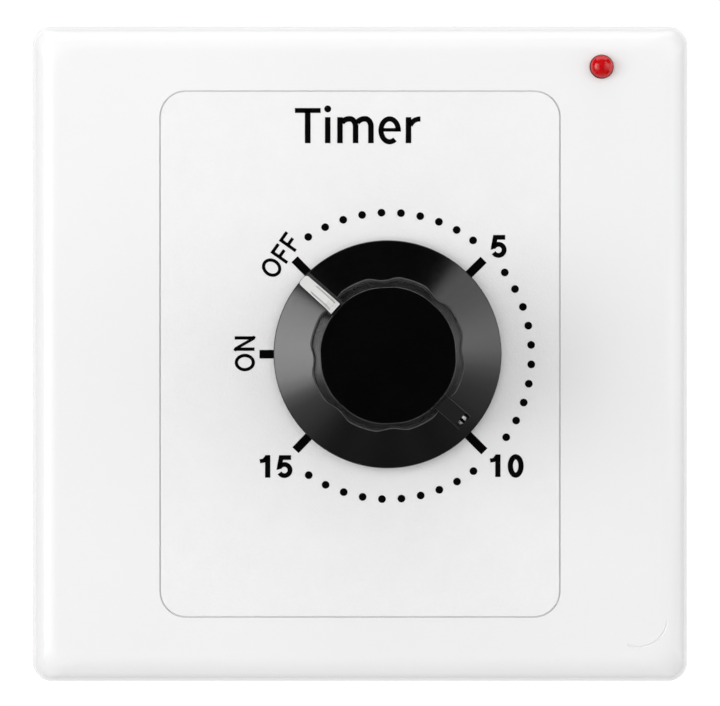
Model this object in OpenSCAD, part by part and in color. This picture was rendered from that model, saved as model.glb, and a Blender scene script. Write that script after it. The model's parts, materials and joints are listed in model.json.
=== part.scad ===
// Wall-plate clockwork timer switch: an 86 mm cover plate with a dial and knob in front of a
// spring-driven movement, a cam switch and screw terminals that sit inside the wall box.
// Every module is drawn face up: X right, Y up the wall, Z out of the wall, wall plane at Z 0.
// upright() then stands it on the wall, so that the face looks along -Y and +Z is up.

/* [Cover plate] */
// Side of the square cover plate
plate_side = 86; // [84:0.5:90]
// How far the cover stands off the wall
plate_depth = 9; // [8.5:0.5:11]
// Corner radius of the cover's outline
plate_corner = 2.5; // [1.5:0.5:5]
// Radius of the rolled edge round the face
edge_roll = 4; // [2:0.5:5]
// Wall thickness of the cover moulding
cover_wall = 1.9; // [1.5:0.1:2.2]

/* [Dial] */
// Width of the dial label
label_w = 52.1; // [48:0.2:58]
// Height of the dial label
label_h = 68.6; // [60:0.2:71]
// Corner radius of the label
label_corner = 3.3; // [1:0.1:6]
// Knob axis, to the right of the plate's centre
axis_x = 3.6; // [0:0.1:5]
// Knob axis, above the plate's centre
axis_y = 0; // [-1:0.1:1]
// Pilot lamp, to the right of the plate's centre
lamp_x = 31.6; // [28:0.1:33]
// Pilot lamp, above the plate's centre
lamp_y = 37.6; // [36:0.1:38]

/* [Knob] */
// Radius of the knob's skirt
skirt_r = 14.9; // [13:0.1:17]
// Height of the knob over the dial
knob_h = 17.5; // [14:0.5:20]
// Radius of the grip at its foot
grip_foot_r = 9.75; // [9:0.05:11]
// Radius of the grip at its top
grip_top_r = 8.65; // [7.5:0.05:9.5]
// Number of finger flutes round the grip
flutes = 8; // [6:1:12]
// Direction of the pointer at OFF, counted from 3 o'clock
pointer_angle = 138.5; // [130:0.5:140]

/* [Fixing] */
// Distance between the two wall-box screws
screw_pitch = 60.3; // [60.3:0.1:60.3]
// Width of each wall-box slot
slot_w = 4.4; // [4:0.1:4.6]
// Length of each wall-box slot
slot_l = 7; // [6:0.5:7]

/* [Movement] */
// Width of the timer case
case_w = 46; // [46:0.5:48]
// Height of the timer case
case_h = 50; // [50:0.5:52]
// Depth of the timer case behind the wall plane
case_d = 30; // [30:0.5:32]
// Turn from OFF to the continuous ON stop, in degrees
turn_on = 45; // [30:1:45]
// Turn from OFF to full time, in degrees
turn_full = 270; // [240:1:270]

/* [Hidden] */
$fn = 48;
clear = 0.05;        // running and assembly clearance per side

// Levels out of the wall
face_t = 2;                              // thickness of the cover's face
face_in = plate_depth - face_t;          // inside of the cover's face
rim_z = 0.3;                             // the cover's rim stays just off the wall
pocket_d = 0.25;                         // recess that the label lies in
label_t = 0.3;
label_top = plate_depth - pocket_d + label_t;
base_t = 2;                              // base plate's thickness at the rim
base_front = 3;                          // front of its raised middle
plate_seat = 1.2;                        // back of its raised middle, on the movement plate

// Places across the face
cover_half = plate_side / 2;
cavity_half = cover_half - cover_wall;
base_half = cavity_half - 0.3;
recess_x = 25.2;                         // half width of the base plate's recess
recess_y = 30.2;                         // half height of the base plate's recess
catch_y = 22;                            // snap catches, above and below the middle
wire_hole = [12, 27.9];
board = [lamp_x, lamp_y - 2];            // middle of the lamp board
lens_r = 1.55;
board_size = [14, 8.6];
board_z = 3.4;
board_t = 1.6;
board_screws = [[board.x - 5, board.y - 3.4], [board.x + 5, board.y - 3.4]];
board_wires = [[board.x - 5.4, board.y - 0.6], [board.x - 5.4, board.y + 1.8]];

// Movement
arbor_r = 3;
arbor_rear_r = 2.5;
bush_r = 4;
plate_z = 1.2;                           // front face of the movement's front plate
rear_plate_z = -19;                      // back face of its rear plate
rear_plate_t = 1;
post = [18.5, 20.5];                     // frame pillars, from the middle
fixing_y = 16;                           // timer fixing screws, above and below the axis
fixing_r = 2;
pivot_r = 0.45;
staff_r = 0.8;
pressure = 28;                           // pressure angle of the clockwork teeth

// Tooth counts and modules of the train: wheel, then the pinion that it drives
main_teeth = 72;
second_pinion_teeth = 12;
main_module = 0.35;
second_teeth = 56;
third_pinion_teeth = 10;
second_module = 0.3;
third_teeth = 50;
escape_pinion_teeth = 10;
third_module = 0.25;
escape_teeth = 15;
escape_r = 4.5;
pallet_span = 42;                        // half the angle between the pallet pins, at the escape wheel
pallet_reach = 7.2;                      // escape staff to pallet staff
pallet_pin_r = 0.25;
pallet_gap = 0.1;                        // pins to tooth tips when the lever is centred
main_to_second = 135;                    // directions from each staff to the next
second_to_third = 225;
third_to_escape = 260;
escape_to_pallet = -55;

function toward(p, a, d) = [p.x + d * cos(a), p.y + d * sin(a)];
function reach(m, a, b) = m * (a + b) / 2;
axis = [axis_x, axis_y];
second_at = toward(axis, main_to_second, reach(main_module, main_teeth, second_pinion_teeth));
third_at = toward(second_at, second_to_third, reach(second_module, second_teeth, third_pinion_teeth));
escape_at = toward(third_at, third_to_escape, reach(third_module, third_teeth, escape_pinion_teeth));
pallet_at = toward(escape_at, escape_to_pallet, pallet_reach);
staffs = [second_at, third_at, escape_at, pallet_at];

// Levels in the movement
spring_z = [-7.6, -1.4];
housing_z = -8.6;
housing_r = 12;
main_z = -10.4;
second_z = -12.6;
third_z = -15;
escape_z = -17.2;
lever_z = -15.95;
inertia_z = -7.5;
cam_z = [-23, -20];
cam_r = 7.5;

// Switch and terminals
blade_z = -23.4;
blade_w = 3.6;
moving_y = axis_y - cam_r - 0.85;        // underside of the moving blade
fixed_y = moving_y - 2.45;               // underside of the fixed blade
tip_x = 11.5;
block_x = [-20, -13.5];
terminal_x = 15.5;
terminal_y = -9.5;
back_z = -case_d;
case_wall = 1.8;
terminal_screw_r = 1.7;

// Knob
skirt_z = label_top + 0.55;
rim_h = 0.8;
knob_top = label_top + knob_h;
cone_top = skirt_z + 3.9;                // where the skirt's cone meets the grip
boss_end = 13.8;
screw_seat = 12.8;
grub_z = 13;
grub_r = 1.15;
insert_r = 4.6;
bore_top = knob_top - 4;
pointer_w = 1.75;

// ---- Helpers ----

module upright() { rotate([90, 0, 0]) children(); }

module at(p, z = 0) { translate([p.x, p.y, z]) children(); }

// A rod between two levels
module rod(r, z1, z2) { translate([0, 0, z1]) cylinder(r = r, h = z2 - z1); }

// A tube between two levels
module tube(r_out, r_in, z1, z2) {
    translate([0, 0, z1]) linear_extrude(z2 - z1) difference() {
        circle(r_out);
        circle(r_in);
    }
}

// A box given by its lowest and highest corners
module block(a, b) { translate(a) cube([b.x - a.x, b.y - a.y, b.z - a.z]); }

// A rounded rectangle, centred
module rounded(w, h, r) {
    square([w - 2 * r, h], center = true);
    square([w, h - 2 * r], center = true);
    for (x = [-1, 1], y = [-1, 1]) translate([x * (w / 2 - r), y * (h / 2 - r)]) circle(r);
}

module rounded_slab(w, h, r, z1, z2) { translate([0, 0, z1]) linear_extrude(z2 - z1) rounded(w, h, r); }

// A pan-head screw along Z: its head lies above the seat and is slotted, its shank hangs below
module slotted_screw(head_r, head_h, shank_r, length, slot) {
    difference() {
        union() {
            cylinder(r = head_r, h = head_h);
            translate([0, 0, -length]) cylinder(r = shank_r, h = length + 0.1);
        }
        translate([-head_r - 1, -slot / 2, head_h * 0.5]) cube([2 * head_r + 2, slot, head_h]);
    }
}

// Involute tooth outline. The half angle of a tooth at a radius follows from the base circle.
function inv(a) = tan(a) * 180 / PI - a;
function half_tooth(n, m, backlash, rho) =
    let (r = n * m / 2)
    90 / n - backlash / r * 180 / PI + inv(pressure) - inv(acos(r * cos(pressure) / rho));
function gear_points(n, m, backlash = 0.025) =
    let (
        r = n * m / 2,
        root = r - 1.05 * m,
        tip = r + 0.8 * m,
        start = max(root, r * cos(pressure) + 0.001),
        flank = [for (k = [0:2]) start + (tip - start) * k / 2],
        side = [for (rho = flank) [rho, half_tooth(n, m, backlash, rho)]],
        foot = root < start ? [[root, half_tooth(n, m, backlash, start)]] : []
    )
    [for (t = [0:n - 1]) each [
        for (p = concat(foot, side)) let (a = t * 360 / n - p[1]) p[0] * [cos(a), sin(a)],
        for (i = [len(side) - 1:-1:0]) let (a = t * 360 / n + side[i][1]) side[i][0] * [cos(a), sin(a)],
        for (p = foot) let (a = t * 360 / n + p[1]) p[0] * [cos(a), sin(a)]
    ]];

// A spoked wheel, with a tooth pointing along phase
module toothed_wheel(n, m, z, h, phase, bore, hub, spokes) {
    rim = n * m / 2 - 2.6 * m;
    translate([0, 0, z]) rotate(phase) linear_extrude(h) difference() {
        polygon(gear_points(n, m));
        difference() {
            circle(rim);
            circle(hub);
            for (i = [0:spokes - 1]) rotate(i * 360 / spokes)
                translate([0, -hub * 0.22]) square([rim + 1, hub * 0.44]);
        }
        circle(bore);
    }
}

// A solid pinion cut on its staff, with a pivot at each end
module staff(z_pivots) {
    rod(staff_r, rear_plate_z + rear_plate_t + 0.1, -0.1);
    rod(pivot_r, z_pivots[0], z_pivots[1]);
}

module pinion(n, m, z1, z2, phase) {
    translate([0, 0, z1]) rotate(phase) linear_extrude(z2 - z1) polygon(gear_points(n, m));
    staff([rear_plate_z + 0.1, plate_z - 0.2]);
}

// A round wire through a list of points, as one swept tube
function unit(v) = v / norm(v);
function tangent(p, i) =
    unit(p[min(i + 1, len(p) - 1)] - p[max(i - 1, 0)]);
function ring_frame(t) =
    let (side = abs(t.x) < 0.9 ? [1, 0, 0] : [0, 1, 0], u = unit(cross(t, side))) [u, cross(t, u)];
module wire(points, r, sides = 10) {
    n = len(points);
    verts = [for (i = [0:n - 1]) let (f = ring_frame(tangent(points, i)))
        for (k = [0:sides - 1]) points[i] + r * (cos(k * 360 / sides) * f[0] + sin(k * 360 / sides) * f[1])];
    sides_faces = [for (i = [0:n - 2], k = [0:sides - 1])
        let (a = i * sides + k, b = i * sides + (k + 1) % sides) [a, b, b + sides, a + sides]];
    polyhedron(verts, concat(sides_faces,
        [[for (k = [sides - 1:-1:0]) k], [for (k = [0:sides - 1]) (n - 1) * sides + k]]));
}

// Points of a Catmull-Rom curve through knots, so that a wire bends smoothly
function catmull(a, b, c, d, t) =
    0.5 * ((2 * b) + (c - a) * t + (2 * a - 5 * b + 4 * c - d) * t * t + (3 * b - a - 3 * c + d) * t * t * t);
function smooth(k, steps) = concat(
    [for (i = [0:len(k) - 2], s = [0:steps - 1])
        catmull(k[max(i - 1, 0)], k[i], k[i + 1], k[min(i + 2, len(k) - 1)], s / steps)],
    [k[len(k) - 1]]);

// ---- Cover plate and label ----

// One slice of the cover's outside: it shrinks towards the face along the rolled edge
module cover_slice(a) {
    inset = edge_roll * (1 - cos(a));
    translate([0, 0, plate_depth - edge_roll + edge_roll * sin(a)]) linear_extrude(0.01)
        rounded(plate_side - 2 * inset * 0.85, plate_side - 2 * inset * 0.85, plate_corner + inset * 0.2);
}

module front_cover() color("white") {
    difference() {
        hull() {
            rounded_slab(plate_side, plate_side, plate_corner, rim_z, rim_z + 1);
            for (a = [0:15:90]) cover_slice(a);
        }
        rounded_slab(2 * cavity_half, 2 * cavity_half, 1, rim_z - 1, face_in);
        rounded_slab(label_w + 0.4, label_h + 0.4, label_corner + 0.2, plate_depth - pocket_d, plate_depth + 1);
        at(axis) rod(5.2, 0, plate_depth + 1);
        at([lamp_x, lamp_y]) rod(lens_r + 0.1, 0, plate_depth + 1);
        corner_line();
        // slot in the bottom edge for the tip of a screwdriver
        block([-4, -cover_half - 1, rim_z - 1], [4, -cavity_half + 0.5, rim_z + 1]);
    }
    cover_ribs();
}

// Thin curved line moulded into the lower right corner of the face
module corner_line() {
    translate([36.4, -34.5, plate_depth - 0.2]) rotate([0, 0, -112])
        rotate_extrude(angle = 107) translate([3.7, 0]) square([0.26, 1]);
}

// Inside the cover: four snap ribs on the side walls and a collar round the shaft hole
module cover_ribs() {
    for (x = [-1, 1], y = [-1, 1])
        translate([x * (cavity_half - 0.35), y * catch_y, 3.2]) cube([1.1, 8, 1.2], center = true);
    at(axis) tube(6.6, 5.2, face_in - 1.2, face_in + 0.1);
    for (y = [-1, 1]) translate([0, y * 38.2, face_in - 0.6]) cube([40, 1.2, 1.3], center = true);
    for (x = [-1, 1]) translate([x * 37, 0, face_in - 0.6]) cube([1.2, 50, 1.3], center = true);
}

module dial_label() color("whitesmoke") difference() {
    rounded_slab(label_w, label_h, label_corner, label_top - label_t, label_top);
    at(axis) rod(5.4, 0, label_top + 1);
}

// ---- Base plate ----

module catch_post() {
    translate([-0.6, -4, base_t - 0.1]) cube([1.2, 8, 3.7]);
    translate([0, -4, base_t + 2.5]) cube([1.15, 8, 1.1]);
}

module base_plate() color("ivory") difference() {
    union() {
        rounded_slab(2 * base_half, 2 * base_half, 1.5, 0, base_t);
        rounded_slab(2 * recess_x + 3.6, 2 * recess_y + 3.6, 3, 0, base_front);
        for (x = [-1, 1]) translate([x * 36, 0, base_t + 0.5]) cube([1.2, 54, 1.1], center = true);
        for (y = [-1, 1]) translate([0, y * 35.5, base_t + 0.5]) cube([40, 1.2, 1.1], center = true);
        for (s = board_screws) at(s) rod(1.9, base_t - 0.1, board_z);
        for (x = [0, 180], y = [-1, 1]) rotate(x) translate([39.2, y * catch_y]) catch_post();
    }
    rounded_slab(2 * recess_x, 2 * recess_y, 1.5, -1, plate_seat);
    at(axis) rod(bush_r + 0.6, -1, base_front + 1);
    for (y = [-1, 1]) at([axis.x, axis.y + y * fixing_y]) rod(2.3, -1, base_front + 1);
    at(wire_hole) rod(2.2, -1, base_front + 1);
    for (s = board_screws) at(s) rod(0.85, 0.6, board_z + 1);
    for (x = [-1, 1]) translate([x * screw_pitch / 2, 0, -1]) linear_extrude(base_front + 2) {
        square([slot_l - slot_w, slot_w], center = true);
        for (e = [-1, 1]) translate([e * (slot_l - slot_w) / 2, 0]) circle(slot_w / 2);
    }
}

module timer_fixing_screws() color("silver")
    for (y = [-1, 1]) at([axis.x, axis.y + y * fixing_y], base_front)
        slotted_screw(3.6, 2.2, fixing_r, base_front + 1.4, 0.9);

// ---- Pilot lamp ----

lamp_tip = plate_depth + 1.6;

module lamp_lens() color("red") at([lamp_x, lamp_y]) {
    rod(1.9, lamp_tip - 5.3, lamp_tip - 4.3);
    rod(lens_r, lamp_tip - 4.4, lamp_tip - lens_r);
    translate([0, 0, lamp_tip - lens_r]) difference() {
        sphere(lens_r);
        translate([-2, -2, -4]) cube(4);
    }
}

module lamp_leads() color("silver") for (x = [-1.27, 1.27])
    translate([lamp_x + x - 0.25, lamp_y - 0.25, base_t + 0.3])
        cube([0.5, 0.5, lamp_tip - 5.35 - base_t - 0.3]);

module lamp_board() color("darkgreen") difference() {
    translate([board.x - board_size.x / 2, board.y - 5.4, board_z + 0.02])
        cube([board_size.x, board_size.y, board_t]);
    for (s = board_screws) at(s) rod(1.1, 0, 10);
    for (x = [-1.27, 1.27]) at([lamp_x + x, lamp_y]) rod(0.45, 0, 10);
    for (w = board_wires) at(w) rod(0.9, 0, 10);
    for (x = [-3, 3]) at([board.x + x, board.y - 1.1]) rod(0.4, 0, 10);
}

// An axial part on the board: a round body and a lead bent down at each end
module axial_part(body_r, body_l, span) {
    rotate([0, 90, 0]) translate([0, 0, -body_l / 2]) cylinder(r = body_r, h = body_l);
    rotate([0, 90, 0]) translate([0, 0, -span / 2]) cylinder(r = 0.25, h = span);
    for (x = [-1, 1]) translate([x * span / 2, 0, -2.9]) cylinder(r = 0.25, h = 3.1);
}

module lamp_resistor() color("tan") translate([board.x, board.y - 1.1, board_z + board_t + 1])
    axial_part(0.85, 4, 6);

module lamp_diode() color("dimgray") translate([board.x + 0.4, board.y - 3.4, board_z + board_t + 0.95])
    rotate([0, 90, 0]) translate([0, 0, -1.8]) cylinder(r = 0.85, h = 3.6);

module lamp_board_screws() color("silver") for (s = board_screws)
    at(s, board_z + board_t + 0.05) slotted_screw(1.5, 0.8, 0.8, 3.6, 0.4);

// Lamp wires: from the board's left edge, through the base plate, back over the case and down to
// the terminals
wire_r = 0.75;
lead_z = back_z - wire_r - 0.25;
wire_knots_live = [
    [board_wires[0].x, board_wires[0].y, 2.9], [board_wires[0].x, board_wires[0].y, 5.4], [board.x - 7.4, board.y - 1.2, 5.9],
    [20, 33.6, 5.2], [14.5, 30, 4.4], [13, wire_hole.y, 2], [13, wire_hole.y, -4], [13, wire_hole.y, -16],
    [13, wire_hole.y, -26], [13.4, 26.9, -30.4], [14, 22, lead_z], [15, 12, lead_z],
    [terminal_x, 2, lead_z], [terminal_x, terminal_y + 6.2, lead_z]
];
wire_knots_neutral = [
    [board_wires[1].x, board_wires[1].y, 2.9], [board_wires[1].x, board_wires[1].y, 5.4], [board.x - 7.6, board.y + 1.4, 5.9],
    [18, 34.8, 5.2], [12.5, 31, 4.6], [11, wire_hole.y, 2], [11, wire_hole.y, -4], [11, wire_hole.y, -16],
    [11, wire_hole.y, -26], [10.4, 26.9, -30.4], [9, 22, lead_z], [4, 12, lead_z],
    [0.6, 2, lead_z], [0, terminal_y + 6.2, lead_z]
];

module lamp_wire_live() color("crimson") wire(smooth(wire_knots_live, 5), wire_r);

module lamp_wire_neutral() color("royalblue") wire(smooth(wire_knots_neutral, 5), wire_r);

// Ring lugs crimped on the wires, under the terminal screws
lug_z = back_z - 1.4;
module wire_lugs() color("silver") for (x = [0, terminal_x]) translate([x, terminal_y, lug_z]) {
    linear_extrude(0.55) difference() {
        union() {
            circle(3.2);
            translate([-1.2, 0]) square([2.4, 4.4]);
        }
        circle(terminal_screw_r + 0.15);
    }
    difference() {
        translate([0, 4.3, lead_z - lug_z]) rotate([-90, 0, 0]) cylinder(r = 1.15, h = 1.8);
        translate([-2, 4, 1.35]) cube([4, 3, 2]);
    }
}

// ---- Knob ----

// Radius of the fluted grip: the flutes are deep at the foot and fade towards the top
function grip_r(a, t) =
    grip_foot_r + (grip_top_r - grip_foot_r) * t - (0.27 - 0.2 * t) * cos(flutes * a);

module grip() {
    levels = [0, 0.25, 0.5, 0.75, 0.96, 1];
    steps = 96;
    foot = skirt_z + 1.5;
    ring = [for (i = [0:steps - 1]) i * 360 / steps];
    pts = [for (t = levels) let (cap = t == 1 ? 0.35 : 0)
        for (a = ring) let (r = grip_r(a, t) - cap) [r * cos(a), r * sin(a), foot + (knob_top - foot) * t]];
    walls = [for (l = [0:len(levels) - 2], i = [0:steps - 1])
        let (p = l * steps + i, q = l * steps + (i + 1) % steps) [p, p + steps, q + steps, q]];
    polyhedron(pts, concat(walls,
        [ring_face(0, steps, false), ring_face((len(levels) - 1) * steps, steps, true)]));
}

function ring_face(start, n, flip) = [for (i = [0:n - 1]) start + (flip ? n - 1 - i : i)];

module skirt() rotate_extrude() polygon([
    [0, skirt_z + 0.5], [insert_r + 2, skirt_z + 0.5], [insert_r + 2, skirt_z + 1.6], [13.2, skirt_z + 0.4],
    [13.6, skirt_z], [skirt_r, skirt_z], [skirt_r, skirt_z + rim_h], [grip_foot_r - 0.4, cone_top],
    [0, cone_top]
]);

// Profile of the pointer's seat, down the grip and along the skirt: offset out of the surface by d
function pointer_profile(d, inner) = [
    [grip_top_r - inner, knob_top + d - 0.4], [grip_top_r + d, knob_top + d - 0.4],
    [grip_foot_r - 0.05 + d, cone_top + 0.5 + d], [skirt_r + d * 0.2, skirt_z + rim_h + 0.2 + d],
    [skirt_r + d * 0.2, skirt_z + rim_h + 0.55 - inner], [grip_foot_r + 0.4 - inner, cone_top - inner]
];

module pointer_bar(w, d, inner) rotate([90, 0, 0]) linear_extrude(w, center = true)
    polygon(pointer_profile(d, inner));

// Boss opposite the pointer, with an open pocket round the end of the grub screw
module screw_boss() difference() {
    block([-boss_end, -1.5, skirt_z + 1.6], [-grip_top_r + 1, 1.5, cone_top + 1.7]);
    block([-boss_end - 1, -1.2, skirt_z + rim_h + 0.4], [-screw_seat, 1.2, knob_top]);
}

module in_knob() { at(axis) rotate(pointer_angle) children(); }

module knob() color([0.06, 0.06, 0.065]) in_knob() difference() {
    union() {
        grip();
        skirt();
        screw_boss();
    }
    rod(insert_r + 0.01, 0, bore_top + 0.6);
    pointer_bar(pointer_w + 0.1, 1.5, 1);
    translate([0, 0, grub_z]) rotate([0, -90, 0]) rod(grub_r + clear, 0, screw_seat + 0.5);
}

module knob_pointer() color("white") in_knob() {
    pointer_bar(pointer_w, 0.3, 0.85);
    // raised ridge with a round nose, along the skirt part
    hull() for (r = [grip_foot_r + 0.75, skirt_r - 2.4])
        translate([r, 0, cone_top - (r - grip_foot_r) * 0.62 + 0.1]) cylinder(r = 0.55, h = 0.85, $fn = 24);
}

// Brass insert with the shaft bore and the thread for the grub screw
module knob_insert() color("goldenrod") in_knob() difference() {
    rod(insert_r - 0.01, skirt_z + 0.5, bore_top + 0.55);
    rod(arbor_r + clear, 0, bore_top);
    translate([0, 0, grub_z]) rotate([0, -90, 0]) rod(grub_r + clear, 0, 8);
}

module knob_grub_screw() color("silver") in_knob() translate([0, 0, grub_z]) rotate([0, -90, 0])
    difference() {
        rod(grub_r, 2.55, screw_seat + 0.7);
        rotate(35) translate([-0.3, -2, screw_seat - 0.2]) cube([0.6, 4, 2]);
    }

// ---- Movement frame ----

module plate_outline(margin) rounded(case_w - 2 * margin, case_h - 2 * margin, 3 - margin * 0.8);

module movement_front_plate() color("lightsteelblue") linear_extrude(plate_z) difference() {
    plate_outline(0);
    translate(axis) circle(bush_r + 0.02);
    for (y = [-1, 1]) translate([axis.x, axis.y + y * fixing_y]) circle(fixing_r + clear);
    for (s = staffs) translate(s) circle(pivot_r + 0.04);
}

module movement_rear_plate() color("lightsteelblue") translate([0, 0, rear_plate_z])
    linear_extrude(rear_plate_t) difference() {
        plate_outline(case_wall + 0.4);
        translate(axis) circle(bush_r + 0.02);
        for (x = [-1, 1], y = [-1, 1]) translate([x * post.x, y * post.y]) circle(1.5);
        for (s = staffs) translate(s) circle(pivot_r + 0.04);
        translate([-19.6, -10.5]) circle(0.75);
        for (y = [-5.6, -14.4]) translate([-16.8, y]) circle(1.05);
        translate([axis.x, axis.y + 8.6]) circle(1.02);
    }

module frame_pillars() color("silver") for (x = [-1, 1], y = [-1, 1])
    at([x * post.x, y * post.y]) difference() {
        rod(2.2, rear_plate_z + rear_plate_t, 0);
        rod(1.3, rear_plate_z, rear_plate_z + 6);
    }

module front_bush() color("goldenrod") at(axis) difference() {
    union() {
        rod(bush_r, -1, 4.6);
        rod(5.5, -1, -0.02);
    }
    rod(arbor_r + clear, -2, 6);
}

module rear_bush() color("goldenrod") at(axis) difference() {
    union() {
        rod(bush_r, rear_plate_z, rear_plate_z + 2.6);
        rod(5.2, rear_plate_z + rear_plate_t + 0.02, rear_plate_z + 1.9);
    }
    rod(arbor_rear_r + clear, rear_plate_z - 1, 0);
}

// ---- Main arbor, spring and clutch ----

module main_arbor() color("gainsboro") at(axis) difference() {
    union() {
        rod(arbor_r, -9.2, bore_top - 0.5);
        rod(arbor_rear_r, -25.4, -9.1);
    }
    // the flat that the knob's grub screw bears on
    rotate(pointer_angle) block([-4, -4, 7], [-arbor_r + 0.5, 4, bore_top + 1]);
    // groove for the clip
    tube(4, 1.9, -24.6, -23.9);
}

// C-shaped clip in the arbor's groove, behind the cam
module arbor_clip() color("dimgray") at(axis, -24.55) linear_extrude(0.6) difference() {
    circle(4.2);
    circle(1.95);
    translate([-1.3, 0]) square([2.6, 6]);
}

// Spiral mainspring, hooked to the arbor inside and to its housing outside
function spiral(a, r1, r2, turns) = (r1 + (r2 - r1) * a / (360 * turns)) * [cos(a), sin(a)];
module mainspring() color("steelblue") at(axis, spring_z[0]) {
    turns = 6.5;
    strip = 0.35;
    turn_steps = [for (i = [0:turns * 30]) i * 12];
    linear_extrude(spring_z[1] - spring_z[0]) polygon(concat(
        [for (a = turn_steps) spiral(a, 3.2, 10.9, turns)],
        [for (i = [len(turn_steps) - 1:-1:0]) spiral(turn_steps[i], 3.2 + strip, 10.9 + strip, turns)]));
}

module spring_housing() color("silver") at(axis) difference() {
    rod(housing_r, housing_z, -0.02);
    rod(housing_r - 0.6, housing_z + 0.6, 1);
    rod(4.5, housing_z - 1, 0);
}

module main_wheel() color("goldenrod") at(axis)
    toothed_wheel(main_teeth, main_module, main_z, 1, main_to_second, arbor_rear_r + 0.02, 4.4, 5);

// Star washer that lets the knob slip on the main wheel while it is being set
module clutch_spring() color("steelblue") at(axis, main_z - 0.85) linear_extrude(0.8) difference() {
    union() {
        circle(3.6);
        for (i = [0:4]) rotate(i * 72) translate([0, -0.8]) square([5.6, 1.6]);
    }
    circle(arbor_rear_r + 0.02);
}

module clutch_collar() color("goldenrod") at(axis)
    tube(4.4, arbor_rear_r + 0.02, main_z - 2.6, main_z - 0.88);

// ---- Train ----

module second_wheel() color("goldenrod") at(second_at)
    toothed_wheel(second_teeth, second_module, second_z, 0.8, second_to_third, staff_r + 0.02, 2.2, 4);

module second_pinion() color("silver") at(second_at)
    pinion(second_pinion_teeth, main_module, main_z - 0.6, main_z + 1.4,
        main_to_second + 180 + 180 / second_pinion_teeth);

module third_wheel() color("goldenrod") at(third_at)
    toothed_wheel(third_teeth, third_module, third_z, 0.8, third_to_escape, staff_r + 0.02, 1.9, 4);

module third_pinion() color("silver") at(third_at)
    pinion(third_pinion_teeth, second_module, second_z - 0.6, second_z + 1.2,
        second_to_third + 180 + 180 / third_pinion_teeth);

// The tooth spaces stand a quarter pitch off the two pallet pins
module escape_wheel() color("goldenrod") at(escape_at, escape_z)
    rotate(escape_to_pallet + pallet_span + 180 / escape_teeth + 90 / escape_teeth)
        linear_extrude(0.8) difference() {
            polygon([for (t = [0:escape_teeth - 1]) let (a = t * 360 / escape_teeth)
                each [3.2 * [cos(a - 7), sin(a - 7)], escape_r * [cos(a - 1.2), sin(a - 1.2)],
                    escape_r * [cos(a + 1.2), sin(a + 1.2)], 3.2 * [cos(a + 7), sin(a + 7)]]]);
            circle(staff_r + 0.02);
        }

module escape_pinion() color("silver") at(escape_at)
    pinion(escape_pinion_teeth, third_module, third_z - 0.6, third_z + 1.2,
        third_to_escape + 180 + 180 / escape_pinion_teeth);

// Pallet pins straddle the escape wheel, just outside its tips when the lever is centred
pin_orbit = escape_r + pallet_pin_r + pallet_gap;
pallet_pins_at = [for (s = [-1, 1]) toward(escape_at, escape_to_pallet + s * pallet_span, pin_orbit)];

module pallet_lever() color("gainsboro") translate([0, 0, lever_z]) linear_extrude(0.65) difference() {
    union() {
        translate(pallet_at) circle(1.8);
        for (p = pallet_pins_at) {
            translate(p) circle(0.7);
            translate(pallet_at) rotate(atan2(p.y - pallet_at.y, p.x - pallet_at.x))
                translate([0, -0.6]) square([norm(p - pallet_at), 1.2]);
        }
    }
    translate(pallet_at) circle(staff_r + 0.02);
    for (p = pallet_pins_at) translate(p) circle(pallet_pin_r + 0.02);
}

module pallet_pins() color("silver") for (p = pallet_pins_at)
    at(p) rod(pallet_pin_r, escape_z - 0.4, lever_z + 0.65);

module pallet_staff() color("silver") at(pallet_at) staff([rear_plate_z + 0.1, plate_z - 0.2]);

module inertia_ring() color("goldenrod") at(pallet_at, inertia_z) linear_extrude(2) difference() {
    circle(5);
    difference() {
        circle(3.6);
        circle(1.7);
        square([8, 1.4], center = true);
    }
    circle(staff_r + 0.02);
}

// ---- Cam switch ----

// The follower's notch points down at OFF. The lug stops the arbor at both ends of its turn.
lug_at = 90 - (turn_on + (360 - turn_full)) / 2;
lug_half = (360 - turn_full - turn_on) / 2 - asin(1 / 8.6) - 0.5;
module switch_cam() color("orange") at(axis) difference() {
    union() {
        rod(cam_r, cam_z[0], cam_z[1]);
        rod(4.5, cam_z[1] - 0.1, cam_z[1] + 0.7);
        translate([0, 0, cam_z[1] - 1.4]) linear_extrude(1.4) polygon(concat([[0, 0]],
            [for (i = [0:6]) let (a = lug_at - lug_half + lug_half * i / 3) 9.6 * [cos(a), sin(a)]]));
    }
    rod(arbor_rear_r + 0.02, -30, 0);
    translate([0, 0, cam_z[0] - 1]) linear_extrude(5)
        polygon([[-1, -5.9], [1, -5.9], [3, -cam_r - 0.6], [-3, -cam_r - 0.6]]);
}

module stop_pin() color("silver") at([axis.x, axis.y + 8.6])
    rod(1, cam_z[1] - 1.3, rear_plate_z + rear_plate_t - 0.1);

module moving_blade() color("peru") translate([0, moving_y, blade_z]) linear_extrude(blade_w) polygon([
    [block_x[0] - 0.05, 0], [tip_x + 2.4, 0], [tip_x + 2.4, 0.3], [axis.x + 1.9, 0.3], [axis.x + 0.45, 1.9],
    [axis.x - 0.45, 1.9], [axis.x - 1.9, 0.3], [block_x[0] - 0.05, 0.3]
]);

module fixed_blade() color("peru") translate([0, fixed_y, blade_z]) linear_extrude(blade_w)
    translate([block_x[0] - 0.05, 0]) square([20.05 - block_x[0], 0.3]);

// Silver contact rivets, facing each other across the gap
module rivet(y, up) translate([tip_x, y, blade_z + blade_w / 2]) rotate([up ? -90 : 90, 0, 0])
    cylinder(r = 1.3, h = 0.65);

module moving_contact() color("white") rivet(moving_y - 0.01, false);

module fixed_contact() color("white") rivet(fixed_y + 0.31, true);

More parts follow.
